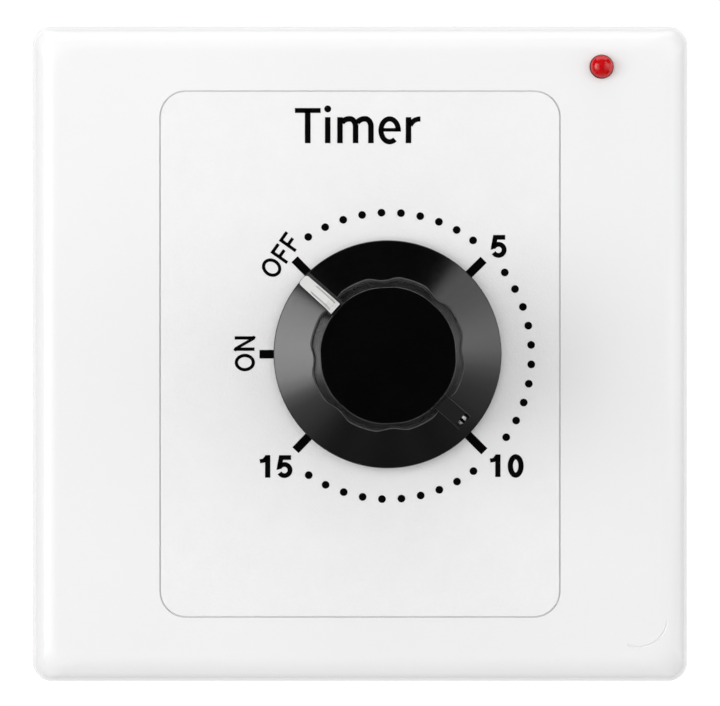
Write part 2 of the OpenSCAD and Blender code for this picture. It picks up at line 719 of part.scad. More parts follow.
block_screw_y = [-5.6, -14.4];
module contact_block() color("saddlebrown") difference() {
    block([block_x[0], -16.2, -24.6], [block_x[1], -3.8, rear_plate_z - 0.02]);
    for (y = [moving_y, fixed_y])
        block([block_x[0] - 1, y - 0.03, blade_z - 0.03], [block_x[1] + 1, y + 0.33, blade_z + blade_w + 0.03]);
    for (y = block_screw_y) at([-16.8, y]) rod(1.1, -30, 0);
}

module contact_block_screws() color("silver") for (y = block_screw_y)
    at([-16.8, y], -24.6) rotate([180, 0, 0]) slotted_screw(2, 1.2, 1, 6.8, 0.5);

// ---- Terminals ----

module terminal_plate(x) difference() {
    block([x - 4, terminal_y - 4, back_z - 0.8], [x + 4, terminal_y + 4, back_z - 0.01]);
    at([x, terminal_y]) rod(terminal_screw_r + clear, back_z - 2, 0);
}

// Side terminals carry a tail through the case's back to the root of a blade
module tail_terminal(side, y) {
    terminal_plate(side * terminal_x);
    block([side > 0 ? 19.4 : -20.9, y - 1.2, back_z - 0.8], [side > 0 ? 20.9 : -19.4, y + 1.2, back_z - 0.01]);
    block([side > 0 ? 20.1 : -20.9, y - 1.2, back_z - 0.1], [side > 0 ? 20.9 : -20.1, y + 1.2, blade_z + blade_w]);
}

module line_terminal() color("goldenrod") tail_terminal(-1, moving_y + 0.15);

module load_terminal() color("goldenrod") tail_terminal(1, fixed_y + 0.15);

module neutral_terminal() color("goldenrod") {
    terminal_plate(0);
    // two feet staked through the case's back
    for (x = [-3, 3]) block([x - 0.6, terminal_y - 3.6, back_z - 0.1], [x + 0.6, terminal_y - 2.8, back_z + case_wall]);
}

terminals = [-terminal_x, 0, terminal_x];
module terminal_clamps() color("gold") for (x = terminals)
    translate([x, terminal_y, back_z - 2.2]) linear_extrude(0.8) difference() {
        square(6.8, center = true);
        circle(terminal_screw_r + clear);
    }

module terminal_screws() color("silver") for (x = terminals)
    at([x, terminal_y], back_z - 2.22) rotate([180, 0, 0])
        slotted_screw(3, 2, terminal_screw_r, 5.1, 0.8);

// ---- Case ----

module timer_case() color([0.16, 0.15, 0.14]) {
    difference() {
        union() {
            difference() {
                rounded_slab(case_w, case_h, 3, back_z, -0.02);
                rounded_slab(case_w - 2 * case_wall, case_h - 2 * case_wall, 1.4, back_z + case_wall, 1);
            }
            for (x = [-1, 1], y = [-1, 1]) at([x * post.x, y * post.y])
                rod(3, back_z + case_wall - 0.1, rear_plate_z - 0.05);
        }
        for (x = [-1, 1], y = [-1, 1]) at([x * post.x, y * post.y]) {
            rod(1.45, back_z - 1, 0);
            rod(2.6, back_z - 1, back_z + 1.1);
        }
        for (x = terminals) at([x, terminal_y]) rod(2.2, back_z - 1, back_z + case_wall + 1);
        // slots for the terminal tails and the neutral terminal's feet
        for (t = [[-20.5, moving_y + 0.15], [20.5, fixed_y + 0.15]])
            translate([t.x, t.y, back_z]) cube([0.96, 2.6, 6], center = true);
        for (x = [-3, 3]) translate([x, terminal_y - 3.2, back_z]) cube([1.4, 1, 6], center = true);
    }
    // barriers between the terminals
    for (x = [-22.2, -terminal_x / 2, terminal_x / 2, 22.2])
        block([x - 0.75, terminal_y - 7, back_z - 6], [x + 0.75, terminal_y + 6, back_z + 0.1]);
}

module case_screws() color("silver") for (x = [-1, 1], y = [-1, 1])
    at([x * post.x, y * post.y], back_z + 1.08) rotate([180, 0, 0]) slotted_screw(2.3, 1.6, 1.25, 15, 0.6);

// ---- Parts on the wall ----

upright() {
    front_cover();
    dial_label();
    base_plate();
    timer_fixing_screws();
    lamp_lens();
    lamp_leads();
    lamp_board();
    lamp_resistor();
    lamp_diode();
    lamp_board_screws();
    lamp_wire_live();
    lamp_wire_neutral();
    wire_lugs();
    knob();
    knob_pointer();
    knob_insert();
    knob_grub_screw();
    movement_front_plate();
    movement_rear_plate();
    frame_pillars();
    front_bush();
    rear_bush();
    main_arbor();
    arbor_clip();
    mainspring();
    spring_housing();
    main_wheel();
    clutch_spring();
    clutch_collar();
    second_wheel();
    second_pinion();
    third_wheel();
    third_pinion();
    escape_wheel();
    escape_pinion();
    pallet_lever();
    pallet_pins();
    pallet_staff();
    inertia_ring();
    switch_cam();
    stop_pin();
    moving_blade();
    fixed_blade();
    moving_contact();
    fixed_contact();
    contact_block();
    contact_block_screws();
    line_terminal();
    load_terminal();
    neutral_terminal();
    terminal_clamps();
    terminal_screws();
    timer_case();
    case_screws();
}
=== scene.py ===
"""Looks of the wall-plate timer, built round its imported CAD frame.

Shapes are drawn in millimetres on the face: x to the right, y up the wall, z out of the wall.
FACE turns them into the row frame, in metres, where the face looks along -Y.
"""
import json
from math import acos, cos, pi, radians, sin, sqrt, tan
import bpy
from mathutils import Matrix, Vector


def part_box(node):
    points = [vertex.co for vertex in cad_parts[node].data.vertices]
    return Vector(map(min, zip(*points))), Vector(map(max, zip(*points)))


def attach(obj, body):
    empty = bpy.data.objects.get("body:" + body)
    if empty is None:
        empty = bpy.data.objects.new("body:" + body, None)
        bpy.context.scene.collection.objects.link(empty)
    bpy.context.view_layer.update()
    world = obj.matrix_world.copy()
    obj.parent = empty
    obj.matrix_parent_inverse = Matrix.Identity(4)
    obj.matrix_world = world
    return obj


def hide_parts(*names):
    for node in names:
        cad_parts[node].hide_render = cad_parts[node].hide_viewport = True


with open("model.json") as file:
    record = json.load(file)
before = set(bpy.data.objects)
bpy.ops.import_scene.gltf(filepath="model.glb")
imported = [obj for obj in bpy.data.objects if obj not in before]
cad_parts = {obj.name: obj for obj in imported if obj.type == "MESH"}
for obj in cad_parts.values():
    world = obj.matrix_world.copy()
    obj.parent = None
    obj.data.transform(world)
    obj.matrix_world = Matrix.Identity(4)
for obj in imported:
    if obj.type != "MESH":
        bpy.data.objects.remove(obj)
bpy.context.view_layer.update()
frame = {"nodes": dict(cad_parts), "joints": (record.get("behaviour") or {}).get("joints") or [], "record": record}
scene = bpy.context.scene

MM = 0.001
FACE = Matrix(((MM, 0, 0, 0), (0, 0, -MM, 0), (0, MM, 0, 0), (0, 0, 0, 1)))
WALL = "wall_unit"
SLOT = {s["node"]: s["material_slot"] for s in frame["record"]["subparts"]}
BODY = {n: b for b, ns in frame["record"]["behaviour"]["bodies"].items() for n in ns}


class Box:
    """A CAD node's box in face millimetres."""

    def __init__(self, node):
        lo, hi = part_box(node)
        self.x1, self.x2 = lo.x / MM, hi.x / MM
        self.y1, self.y2 = lo.z / MM, hi.z / MM
        self.z1, self.z2 = -hi.y / MM, -lo.y / MM
        self.cx, self.cy, self.cz = (self.x1 + self.x2) / 2, (self.y1 + self.y2) / 2, (self.z1 + self.z2) / 2
        self.w, self.h = self.x2 - self.x1, self.y2 - self.y1


def joint_axis(name):
    pos = next(j["pos_m"] for j in frame["joints"] if j["name"] == name)
    return pos[0] / MM, pos[2] / MM


plate, label, lamp = Box("front_cover"), Box("dial_label"), Box("lamp_lens")
knob_box = Box("knob")
AX, AY = joint_axis("knob_turn")

# ------------------------ outlines


def circle(r, n=64, cx=0.0, cy=0.0):
    return [(cx + r * cos(2 * pi * i / n), cy + r * sin(2 * pi * i / n)) for i in range(n)]


def arc(cx, cy, rx, ry, a1, a2, n):
    turns = [radians(a1 + (a2 - a1) * i / n) for i in range(n + 1)]
    return [(cx + rx * cos(a), cy + ry * sin(a)) for a in turns]


def rounded_rect(w, h, r, n=8, cx=0.0, cy=0.0):
    pts = []
    for k, (sx, sy) in enumerate(((1, 1), (-1, 1), (-1, -1), (1, -1))):
        ox, oy = cx + sx * (w / 2 - r), cy + sy * (h / 2 - r)
        for i in range(n + 1):
            a = pi / 2 * (k + i / n)
            pts.append((ox + r * cos(a), oy + r * sin(a)))
    return pts


def fillet(points, steps=5):
    """Rounds the corners of a profile. Each point is (x, y) or (x, y, radius)."""
    out = []
    for i, p in enumerate(points):
        radius = p[2] if len(p) > 2 else 0.0
        if radius <= 0 or i in (0, len(points) - 1):
            out.append(p[:2])
            continue
        here = Vector(p[:2])
        a, b = Vector(points[i - 1][:2]) - here, Vector(points[i + 1][:2]) - here
        la, lb = a.length, b.length
        a.normalize()
        b.normalize()
        half = acos(max(-1, min(1, a.dot(b)))) / 2
        cutback = min(radius / tan(half), 0.49 * la, 0.49 * lb)
        radius = cutback * tan(half)
        centre = here + (a + b).normalized() * (radius / sin(half))
        start, end = here + a * cutback - centre, here + b * cutback - centre
        for k in range(steps + 1):
            d = start.lerp(end, k / steps).normalized() * radius
            out.append((centre.x + d.x, centre.y + d.y))
    return out


def inset(outline, d):
    """The outline moved inwards by d, keeping one point for each point."""
    n, out = len(outline), []
    for i, p in enumerate(outline):
        before, after = Vector(outline[i - 1]), Vector(outline[(i + 1) % n])
        e1, e2 = Vector(p) - before, after - Vector(p)
        n1 = Vector((-e1.y, e1.x)).normalized() if e1.length > 1e-9 else Vector((0, 0))
        n2 = Vector((-e2.y, e2.x)).normalized() if e2.length > 1e-9 else n1
        m = (n1 + n2).normalized()
        m *= d / max(0.35, m.dot(n1) if n1.length else 1)
        out.append((p[0] + m.x, p[1] + m.y))
    return out


def turn(points, degrees, cx=0.0, cy=0.0):
    c, s = cos(radians(degrees)), sin(radians(degrees))
    return [(cx + c * x - s * y, cy + s * x + c * y) for x, y in points]


def smooth_path(knots, steps=8):
    """Points of a Catmull-Rom curve through the knots."""
    pts = [Vector(k) for k in knots]
    out = []
    for i in range(len(pts) - 1):
        a, b, c, d = pts[max(i - 1, 0)], pts[i], pts[i + 1], pts[min(i + 2, len(pts) - 1)]
        for s in range(steps):
            t = s / steps
            out.append(0.5 * (2 * b + (c - a) * t + (2 * a - 5 * b + 4 * c - d) * t ** 2
                              + (3 * b - a - 3 * c + d) * t ** 3))
    return out + [pts[-1]]


# ------------------------ solids


def solid(name, verts, faces, to_row=FACE):
    mesh = bpy.data.meshes.new(name)
    mesh.from_pydata([tuple(v) for v in verts], [], [tuple(f) for f in faces])
    mesh.transform(to_row)
    mesh.validate()
    mesh.update()
    obj = bpy.data.objects.new(name, mesh)
    scene.collection.objects.link(obj)
    return obj


def ring_faces(m, n):
    """Faces between m closed rings of n points, where the last ring meets the first."""
    return [(k * n + i, k * n + (i + 1) % n, (k + 1) % m * n + (i + 1) % n, (k + 1) % m * n + i)
            for k in range(m) for i in range(n)]


def loft_data(rings):
    n = len(rings[0])
    verts = [p for ring in rings for p in ring]
    faces = ring_faces(len(rings), n)[:-n]
    return verts, faces + [tuple(reversed(range(n))), tuple(range(len(verts) - n, len(verts)))]


def loft(name, rings, to_row=FACE):
    return solid(name, *loft_data(rings), to_row)


def quarter(steps):
    """Angles of a quarter turn in equal steps."""
    return [pi / 2 * k / steps for k in range(steps + 1)]


def slab_data(outline, z1, z2, low=0.1, high=0.1):
    """A prism over an outline with rounded lower and upper edges."""
    rings = []
    for a in quarter(3) if low else ():
        rings.append([(x, y, z1 + low * (1 - cos(a))) for x, y in inset(outline, low * (1 - sin(a)))])
    if not low:
        rings.append([(x, y, z1) for x, y in outline])
    for a in quarter(3) if high else ():
        rings.append([(x, y, z2 - high * (1 - sin(a))) for x, y in inset(outline, high * (1 - cos(a)))])
    if not high:
        rings.append([(x, y, z2) for x, y in outline])
    return loft_data(rings)


def slab(name, outline, z1, z2, low=0.1, high=0.1, to_row=FACE):
    return solid(name, *slab_data(outline, z1, z2, low, high), to_row)


def rounds(profile, n, cx=0.0, cy=0.0):
    """Level rings of n points, one for each (radius, z) of a profile."""
    return [[(x, y, z) for x, y in circle(r, n, cx, cy)] for r, z in profile]


def turned_data(profile, n=64, cx=0.0, cy=0.0):
    """A turned solid: profile is (radius, z) from its lower end to its upper end, off the axis."""
    return loft_data(rounds(profile, n, cx, cy))


def turned(name, profile, n=64, cx=0.0, cy=0.0, to_row=FACE):
    return solid(name, *turned_data(profile, n, cx, cy), to_row)


def ring_data(profile, n, cx=0.0, cy=0.0):
    """A turned ring: profile is a closed loop of (radius, z), anticlockwise seen with r to the right."""
    return sum(rounds(profile, n, cx, cy), []), ring_faces(len(profile), n)


def tube_data(points, r, n=12):
    pts = [Vector(p) for p in points]
    rings, side = [], None
    for i, p in enumerate(pts):
        t = (pts[min(i + 1, len(pts) - 1)] - pts[max(i - 1, 0)]).normalized()
        if side is None:
            side = t.orthogonal().normalized()
        side = (side - t * side.dot(t)).normalized()
        up = t.cross(side)
        rad = r[i] if isinstance(r, (list, tuple)) else r
        rings.append([tuple(p + rad * (c * side + s * up)) for c, s in circle(1, n)])
    return loft_data(rings)


def brick(name, x1, x2, y1, y2, z1, z2, edge=0.1, to_row=FACE):
    """A block with small rounded edges."""
    outline = rounded_rect(x2 - x1, y2 - y1, edge * 1.5, 3, (x1 + x2) / 2, (y1 + y2) / 2)
    return slab(name, outline, z1, z2, edge, edge, to_row)


def moved(data, matrix):
    verts, faces = data
    return [tuple(matrix @ Vector(v)) for v in verts], faces


def merged(name, datas):
    """One mesh of several closed shells, each given as (vertices, faces)."""
    verts, faces = [], []
    for vs, fs in datas:
        base = len(verts)
        verts += vs
        faces += [tuple(base + i for i in f) for f in fs]
    return solid(name, verts, faces)


def taken(obj):
    """The vertices and faces of a scratch object, which is deleted."""
    data = [tuple(v.co) for v in obj.data.vertices], [tuple(p.vertices) for p in obj.data.polygons]
    bpy.data.objects.remove(obj)
    return data


def combine(target, other, operation):
    mod = target.modifiers.new("cut", "BOOLEAN")
    mod.operation, mod.solver, mod.object = operation, "EXACT", other
    bpy.context.view_layer.update()
    baked = bpy.data.meshes.new_from_object(target.evaluated_get(bpy.context.evaluated_depsgraph_get()))
    target.modifiers.clear()
    old, target.data = target.data, baked
    bpy.data.meshes.remove(old)
    bpy.data.objects.remove(other)


def cut(target, other):
    combine(target, other, "DIFFERENCE")


def add(target, other):
    combine(target, other, "UNION")


# ------------------------ materials


def nodes_of(name):
    mat = bpy.data.materials.new(name)
    mat.use_nodes = True
    tree = mat.node_tree
    return mat, tree, tree.nodes["Principled BSDF"]


def noise(tree, coords, scale, detail=3.0, rough=0.55):
    n = tree.nodes.new("ShaderNodeTexNoise")
    n.inputs["Scale"].default_value = scale
    n.inputs["Detail"].default_value = detail
    n.inputs["Roughness"].default_value = rough
    tree.links.new(coords, n.inputs["Vector"])
    return n.outputs["Fac"]


def spread(tree, value, low, high, a=0.3, b=0.7):
    n = tree.nodes.new("ShaderNodeMapRange")
    for key, v in (("From Min", a), ("From Max", b), ("To Min", low), ("To Max", high)):
        n.inputs[key].default_value = v
    tree.links.new(value, n.inputs["Value"])
    return n.outputs["Result"]


def mix(tree, fac, a, b):
    """Mixes two colours, where each is a triple or another node's output."""
    n = tree.nodes.new("ShaderNodeMix")
    n.data_type = "RGBA"
    for socket, colour in ((n.inputs[6], a), (n.inputs[7], b)):
        if isinstance(colour, tuple):
            socket.default_value = (*colour, 1)
        else:
            tree.links.new(colour, socket)
    tree.links.new(fac, n.inputs[0])
    return n.outputs[2]


def surface(name, colour, roughness, metallic=0.0, vary=0.06, grain=900.0, bump=0.02, stretch=(1, 1, 1),
            coat=0.0, wear=None, specular=0.5):
    """A procedural finish: broad tone changes, fine roughness changes and a small bump, in real sizes."""
    mat, tree, bsdf = nodes_of(name)
    place = tree.nodes.new("ShaderNodeTexCoord")
    size = tree.nodes.new("ShaderNodeMapping")
    size.inputs["Scale"].default_value = stretch
    tree.links.new(place.outputs["Object"], size.inputs["Vector"])
    coords = size.outputs["Vector"]
    broad = spread(tree, noise(tree, coords, grain * 0.09, 4), 0, 1)
    fine = spread(tree, noise(tree, coords, grain, 5, 0.65), -1, 1)
    base = mix(tree, broad, tuple(c * (1 - vary) for c in colour),
               tuple(min(1.0, c * (1 + vary * 0.6)) for c in colour))
    if wear is not None:
        worn = spread(tree, noise(tree, coords, grain * 0.35, 6, 0.7), 0, 1, 0.58, 0.72)
        base = mix(tree, worn, base, wear)
    tree.links.new(base, bsdf.inputs["Base Color"])
    rough = tree.nodes.new("ShaderNodeMath")
    rough.operation = "MULTIPLY_ADD"
    rough.inputs[1].default_value = roughness * 0.18
    rough.inputs[2].default_value = roughness
    rough.use_clamp = True
    tree.links.new(fine, rough.inputs[0])
    tree.links.new(rough.outputs[0], bsdf.inputs["Roughness"])
    relief = tree.nodes.new("ShaderNodeBump")
    relief.inputs["Strength"].default_value = min(1.0, bump * 10)
    relief.inputs["Distance"].default_value = 0.0001 * bump
    tree.links.new(fine, relief.inputs["Height"])
    tree.links.new(relief.outputs["Normal"], bsdf.inputs["Normal"])
    bsdf.inputs["Metallic"].default_value = metallic
    bsdf.inputs["Specular IOR Level"].default_value = specular
    bsdf.inputs["Coat Weight"].default_value = coat
    bsdf.inputs["Coat Roughness"].default_value = 0.05
    return mat


LONG = (1, 1, 12)
WHITE = (0.82, 0.82, 0.82)
FINISH = {}


def look(name, *values, **extra):
    FINISH[name] = surface(name, *values, **extra)


look("white_urea", WHITE, 0.22, vary=0.012, grain=450, bump=0.05)
look("label_film", WHITE, 0.34, vary=0.012, grain=3000, bump=0.12)
look("base_nylon", (0.70, 0.68, 0.60), 0.48, vary=0.05, grain=1500, bump=0.3)
look("knob_black", (0.0014, 0.0014, 0.0015), 0.17, vary=0.3, grain=1400, bump=0.004, specular=0.75)
look("pointer_white", (0.60, 0.60, 0.59), 0.42, vary=0.03, grain=1200, bump=0.05, specular=0.3)
look("lamp_red", (0.50, 0.003, 0.005), 0.13, vary=0.15, grain=1500, bump=0.005, specular=0.5)
look("board_green", (0.02, 0.12, 0.04), 0.32, vary=0.2, grain=2500, bump=0.2, coat=0.4)
look("resistor_body", (0.62, 0.47, 0.28), 0.38, vary=0.1, grain=3000, bump=0.3)
look("diode_body", (0.015, 0.015, 0.016), 0.36, vary=0.3, grain=3000, bump=0.2)
look("wire_red", (0.48, 0.02, 0.015), 0.42, vary=0.12, grain=2500, bump=0.25)
look("wire_blue", (0.02, 0.07, 0.36), 0.42, vary=0.12, grain=2500, bump=0.25)
look("brass", (0.72, 0.50, 0.20), 0.28, 1.0, vary=0.12, grain=2200, bump=0.15, wear=(0.50, 0.33, 0.14))
look("tinned", (0.70, 0.69, 0.66), 0.34, 1.0, vary=0.12, grain=2600, bump=0.3)
look("zinc_steel", (0.64, 0.66, 0.68), 0.30, 1.0, vary=0.1, grain=2600, bump=0.2, wear=(0.48, 0.49, 0.50))
look("plate_steel", (0.58, 0.60, 0.62), 0.36, 1.0, vary=0.1, grain=700, bump=0.25, stretch=LONG,
     wear=(0.45, 0.45, 0.46))
look("pinion_steel", (0.56, 0.57, 0.59), 0.22, 1.0, vary=0.1, grain=3000, bump=0.1)
look("spring_steel", (0.10, 0.14, 0.27), 0.26, 1.0, vary=0.35, grain=900, bump=0.1, wear=(0.22, 0.20, 0.24))
look("cam_nylon", (0.70, 0.25, 0.04), 0.44, vary=0.08, grain=1800, bump=0.25)
look("phenolic", (0.16, 0.075, 0.035), 0.40, vary=0.3, grain=1200, bump=0.25, wear=(0.09, 0.04, 0.02))
look("case_black", (0.028, 0.026, 0.025), 0.42, vary=0.25, grain=1500, bump=0.5, wear=(0.045, 0.042, 0.04))
look("bronze", (0.66, 0.37, 0.20), 0.30, 1.0, vary=0.12, grain=1500, bump=0.15, wear=(0.42, 0.22, 0.12))
look("contact_silver", (0.83, 0.82, 0.79), 0.24, 1.0, vary=0.1, grain=2600, bump=0.15, wear=(0.45, 0.44,
     0.42))
INK = surface("black_ink", (0.0012, 0.0012, 0.0012), 0.36, vary=0.3, grain=4000, bump=0.05, specular=0.1)


def finish_mesh(obj, angle=32):
    obj.data.shade_smooth()
    obj.data.set_sharp_from_angle(angle=radians(angle))
    weighted = obj.modifiers.new("normals", "WEIGHTED_NORMAL")
    weighted.keep_sharp = True


def piece(obj, node=None, body=None, finish=None, slot=None, angle=32, stands_for=()):
    """Finishes a made piece: shading, the material of its slot, its body, and hiding the CAD nodes that it stands
    for.
    """
    slot = slot or (SLOT[node] if node and not finish else None)
    obj.data.materials.clear()
    obj.data.materials.append(finish or FINISH[slot])
    finish_mesh(obj, angle)
    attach(obj, body or BODY[node])
    if stands_for:
        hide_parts(*stands_for)


# ------------------------ cover plate

ROLL, ROLL_LEAN, ROLL_STEPS = 4.0, 0.85, 22
PLATE_CORNER = 2.5
COVER_WALL = 1.9
SHAFT_HOLE = 5.2
CORNER_LINE = (36.4, -34.5, 3.83)


def cover_ring(shrink, z):
    side = plate.w - 2 * shrink
    return [(x, y, z) for x, y in rounded_rect(side, side, PLATE_CORNER + shrink * 0.2, 10)]


def make_cover():
    top = plate.z2
    rings = [cover_ring(0.15, plate.z1), cover_ring(0.0, plate.z1 + 0.15), cover_ring(0.0, top - ROLL)]
    for a in quarter(ROLL_STEPS)[1:]:
        rings.append(cover_ring(ROLL * ROLL_LEAN * (1 - cos(a)), top - ROLL + ROLL * sin(a)))
    rings.append(cover_ring(ROLL * ROLL_LEAN + 0.4, top))
    cover = loft("front_cover_shell", rings)
    cavity = plate.w - 2 * COVER_WALL
    cut(cover, slab("cavity", rounded_rect(cavity, cavity, 1.0, 4), plate.z1 - 1, top - 2.0, 0, 0.3))
    pocket = rounded_rect(label.w + 0.4, label.h + 0.4, 3.5, 12, label.cx, label.cy)
    cut(cover, slab("pocket", pocket, label.z1, top + 1, 0, 0))
    cut(cover, turned("shaft_hole", [(SHAFT_HOLE, 0), (SHAFT_HOLE, top + 1)], 64, AX, AY))
    cut(cover, turned("lamp_hole", [(1.56, 0), (1.56, top - 0.04), (1.61, top + 0.01), (1.61, top + 1)],
                      64, lamp.cx, lamp.cy))
    cx, cy, r = CORNER_LINE
    groove = [(x, y, top + 0.02) for x, y in arc(cx, cy, r, r, -112, -4, 36)]
    cut(cover, solid("corner_groove", *tube_data(groove, 0.14, 10)))
    cut(cover, brick("pry_slot", -4, 4, plate.y1 - 1, plate.y1 + COVER_WALL + 0.5, plate.z1 - 1,
                     plate.z1 + 1, 0.15))
    low, high = top - 3.2, top - 1.9
    collar = [(SHAFT_HOLE, low), (6.6, low), (6.6, high), (SHAFT_HOLE, high)]
    add(cover, solid("shaft_collar", *ring_data(collar, 64, AX, AY)))
    inner = plate.w / 2 - COVER_WALL
    for x in (-1, 1):
        for y in (-22, 22):
            xs = sorted((x * (inner - 0.9), x * (inner + 0.2)))
            add(cover, brick("catch_rib", xs[0], xs[1], y - 4, y + 4, 2.6, 3.8, 0.1))
        for xr, yr, w, h in ((0, 38.2 * x, 40, 1.2), (37 * x, 0, 1.2, 50)):
            add(cover, brick("stiffener", xr - w / 2, xr + w / 2, yr - h / 2, yr + h / 2, low, high, 0.1))
    piece(cover, "front_cover", angle=28, stands_for=["front_cover"])


make_cover()

# ------------------------ label and print

INK_T = 0.03


def make_label():
    film = slab("dial_label_film", rounded_rect(label.w, label.h, 3.3, 12, label.cx, label.cy),
                label.z1, label.z2, 0, 0.05)
    cut(film, turned("film_hole", [(5.4, 0), (5.4, label.z2 + 1)], 64, AX, AY))
    piece(film, "dial_label", stands_for=["dial_label"])


def stroke_data(path, width, closed=False, z=None, height=INK_T):
    """A pen stroke of even width along a path, as a thin prism on the label or another level."""
    z = label.z2 if z is None else z
    pts = [Vector(p) for p in path]
    n, left, right = len(pts), [], []
    for i, p in enumerate(pts):
        a = pts[i - 1] if i or closed else None
        b = pts[(i + 1) % n] if i < n - 1 or closed else None
        d1 = (p - a).normalized() if a is not None else None
        d2 = (b - p).normalized() if b is not None else None
        d1, d2 = d1 or d2, d2 or d1
        n1, n2 = Vector((-d1.y, d1.x)), Vector((-d2.y, d2.x))
        m = (n1 + n2).normalized()
        m *= width / 2 / max(0.3, m.dot(n1))
        left.append(p + m)
        right.append(p - m)
    verts = [(*v, level) for level in (z - 0.02, z + height) for v in left + right]
    faces, top = [], 2 * n
    for i in range(n if closed else n - 1):
        j = (i + 1) % n
        faces += [(i, j, n + j, n + i), (top + i, top + n + i, top + n + j, top + j),
                  (i, top + i, top + j, j), (n + i, n + j, top + n + j, top + n + i)]
    if not closed:
        e = n - 1
        faces += [(0, n, top + n, top), (e, top + e, top + n + e, n + e)]
    return verts, faces


def bar(x1, y1, x2, y2, width):
    return ([(x1, y1), (x2, y2)], width, False)


def loop(cx, cy, rx, ry, width, n=40):
    return (arc(cx, cy, rx, ry, 0, 360, n)[:-1], width, True)


# Each letter is a list of strokes, in millimetres from its lower left corner.
STEM, THIN = 0.72, 0.64


def hump(x1, x2, foot):
    """One arch of the m, from its stem down to its foot."""
    return (arc(x1, 2.10, 1.16, 1.08, 148, 78, 10) + arc(x2, 2.20, 0.77, 0.98, 66, 0, 10) + [(foot, 0.0)],
            STEM, False)


TITLE = [
    bar(0.0, 4.27, 3.36, 4.27, THIN), bar(1.67, 0.0, 1.67, 4.4, 0.74),
    bar(4.29, 0.0, 4.29, 3.40, STEM), loop(4.29, 4.48, 0.225, 0.225, 0.45, 24),
    bar(5.89, 0.0, 5.89, 3.40, STEM),
    hump(7.12, 7.16, 7.93), hump(9.12, 9.17, 9.94),
    (arc(12.38, 1.675, 1.13, 1.50, -3, 308, 44), 0.67, False), bar(11.4, 1.74, 13.84, 1.74, 0.46),
    bar(14.85, 0.0, 14.85, 3.40, STEM),
    (arc(16.32, 1.86, 1.32, 1.30, 160, 86, 12), 0.66, False),
]
CAP = 0.42
LETTER_O = [loop(1.12, 1.30, 0.93, 1.11, CAP)]
LETTER_F = [bar(0.205, 0.0, 0.205, 2.58, CAP), bar(0.1, 2.37, 1.53, 2.37, CAP),
            bar(0.1, 1.28, 1.33, 1.28, CAP)]
LETTER_N = [bar(0.22, 0.0, 0.22, 2.6, 0.43), bar(1.69, 0.0, 1.69, 2.6, 0.43),
            ([(0.0, 2.6), (0.30, 2.45), (1.61, 0.15), (1.91, 0.0)], 0.38, False)]
BOLD = 0.68
DIGIT_1 = [bar(1.02, 0.0, 1.02, 2.95, BOLD), ([(0.0, 2.14), (0.55, 2.24), (0.90, 2.70)], 0.54, False)]
DIGIT_0 = [loop(0.99, 1.47, 0.70, 1.20, BOLD)]
DIGIT_5 = [([(1.84, 2.63), (0.54, 2.63), (0.32, 1.42)] + arc(0.97, 0.99, 0.73, 0.73, 142, -150, 22),
            0.62, False)]


def letters(name, placed):
    """placed is a list of (strokes, x, y, degrees): each glyph is turned, then moved to its place."""
    datas = []
    for strokes, x, y, degrees in placed:
        for path, width, closed in strokes:
            datas.append(stroke_data(turn(path, degrees, x, y), width, closed))
    piece(merged(name, datas), body=WALL, finish=INK)


# Minute dots: three quarters of ten, each centred on its direction
DOT_ORBIT, DOT_R, DOT_STEP = 18.75, 0.505, 7.8
DOT_QUARTERS = (88.8, 0.5, -88.6)
DOT_CENTRE = (AX + 0.09, AY - 0.22)
# Ticks as (direction, outer radius)
TICKS = ((134.4, 17.38), (44.5, 17.62), (-45.1, 17.95), (-133.8, 17.4), (180, 16.75))
WORD_TILT = 54.5


def make_print():
    dots, (dx, dy) = [], DOT_CENTRE
    for middle in DOT_QUARTERS:
        for k in range(10):
            a = radians(middle + (k - 4.5) * DOT_STEP)
            outline = circle(DOT_R, 24, dx + DOT_ORBIT * cos(a), dy + DOT_ORBIT * sin(a))
            dots.append(slab_data(outline, label.z2 - 0.02, label.z2 + INK_T, 0, 0))
    piece(merged("dial_dots", dots), body=WALL, finish=INK)
    ticks = []
    for a, outer in TICKS:
        c, s = cos(radians(a)), sin(radians(a))
        ticks.append(stroke_data([(AX + r * c, AY + r * s) for r in (12.5, outer)], 1.12))
    piece(merged("dial_ticks", ticks), body=WALL, finish=INK)
    letters("title_lettering", [(TITLE, -8.51, 27.60, 0)])

    def along(du, dv):
        return turn([(du, dv)], WORD_TILT, -11.56, 11.33)[0]

    letters("dial_words", [
        (LETTER_O, *along(-1.12, -1.30), WORD_TILT), (LETTER_F, *along(1.50, -1.30), WORD_TILT),
        (LETTER_F, *along(3.41, -1.30), WORD_TILT), (LETTER_O, -13.77, -2.21, 90),
        (LETTER_N, -13.80, 0.44, 90)])
    letters("dial_numbers", [
        (DIGIT_5, 17.15, 12.66, 0), (DIGIT_1, 17.02, -16.06, 0), (DIGIT_0, 19.38, -16.09, 0),
        (DIGIT_1, -13.10, -16.15, 0), (DIGIT_5, -10.86, -16.15, 0)])


make_label()
make_print()

# ------------------------ knob

KNOB_SIDES = 320
FLUTES = 8
FLUTE_HALF = radians(13.5)
POINTER = radians(138.5)
SKIRT_R = 14.9
RIM_H = 0.8
GRIP_FOOT, GRIP_TOP, FLARE, TOP_EDGE = 9.92, 8.78, 0.22, 0.1
skirt_z = knob_box.z1
cone_top = skirt_z + 3.9
knob_top = knob_box.z2
CONE_SLOPE = (cone_top - skirt_z - RIM_H) / (SKIRT_R - GRIP_FOOT + 0.6)
IN_KNOB = Matrix.Translation((AX, AY, 0)) @ Matrix.Rotation(POINTER, 4, "Z")


def cone_z(r):
    """Height of the skirt's cone at a radius."""
    return skirt_z + RIM_H + (SKIRT_R - r) * CONE_SLOPE


def knob_loft(name, rings):
    """A loft drawn with the pointer along +x and the axis at the origin."""
    return loft(name, rings, FACE @ IN_KNOB)


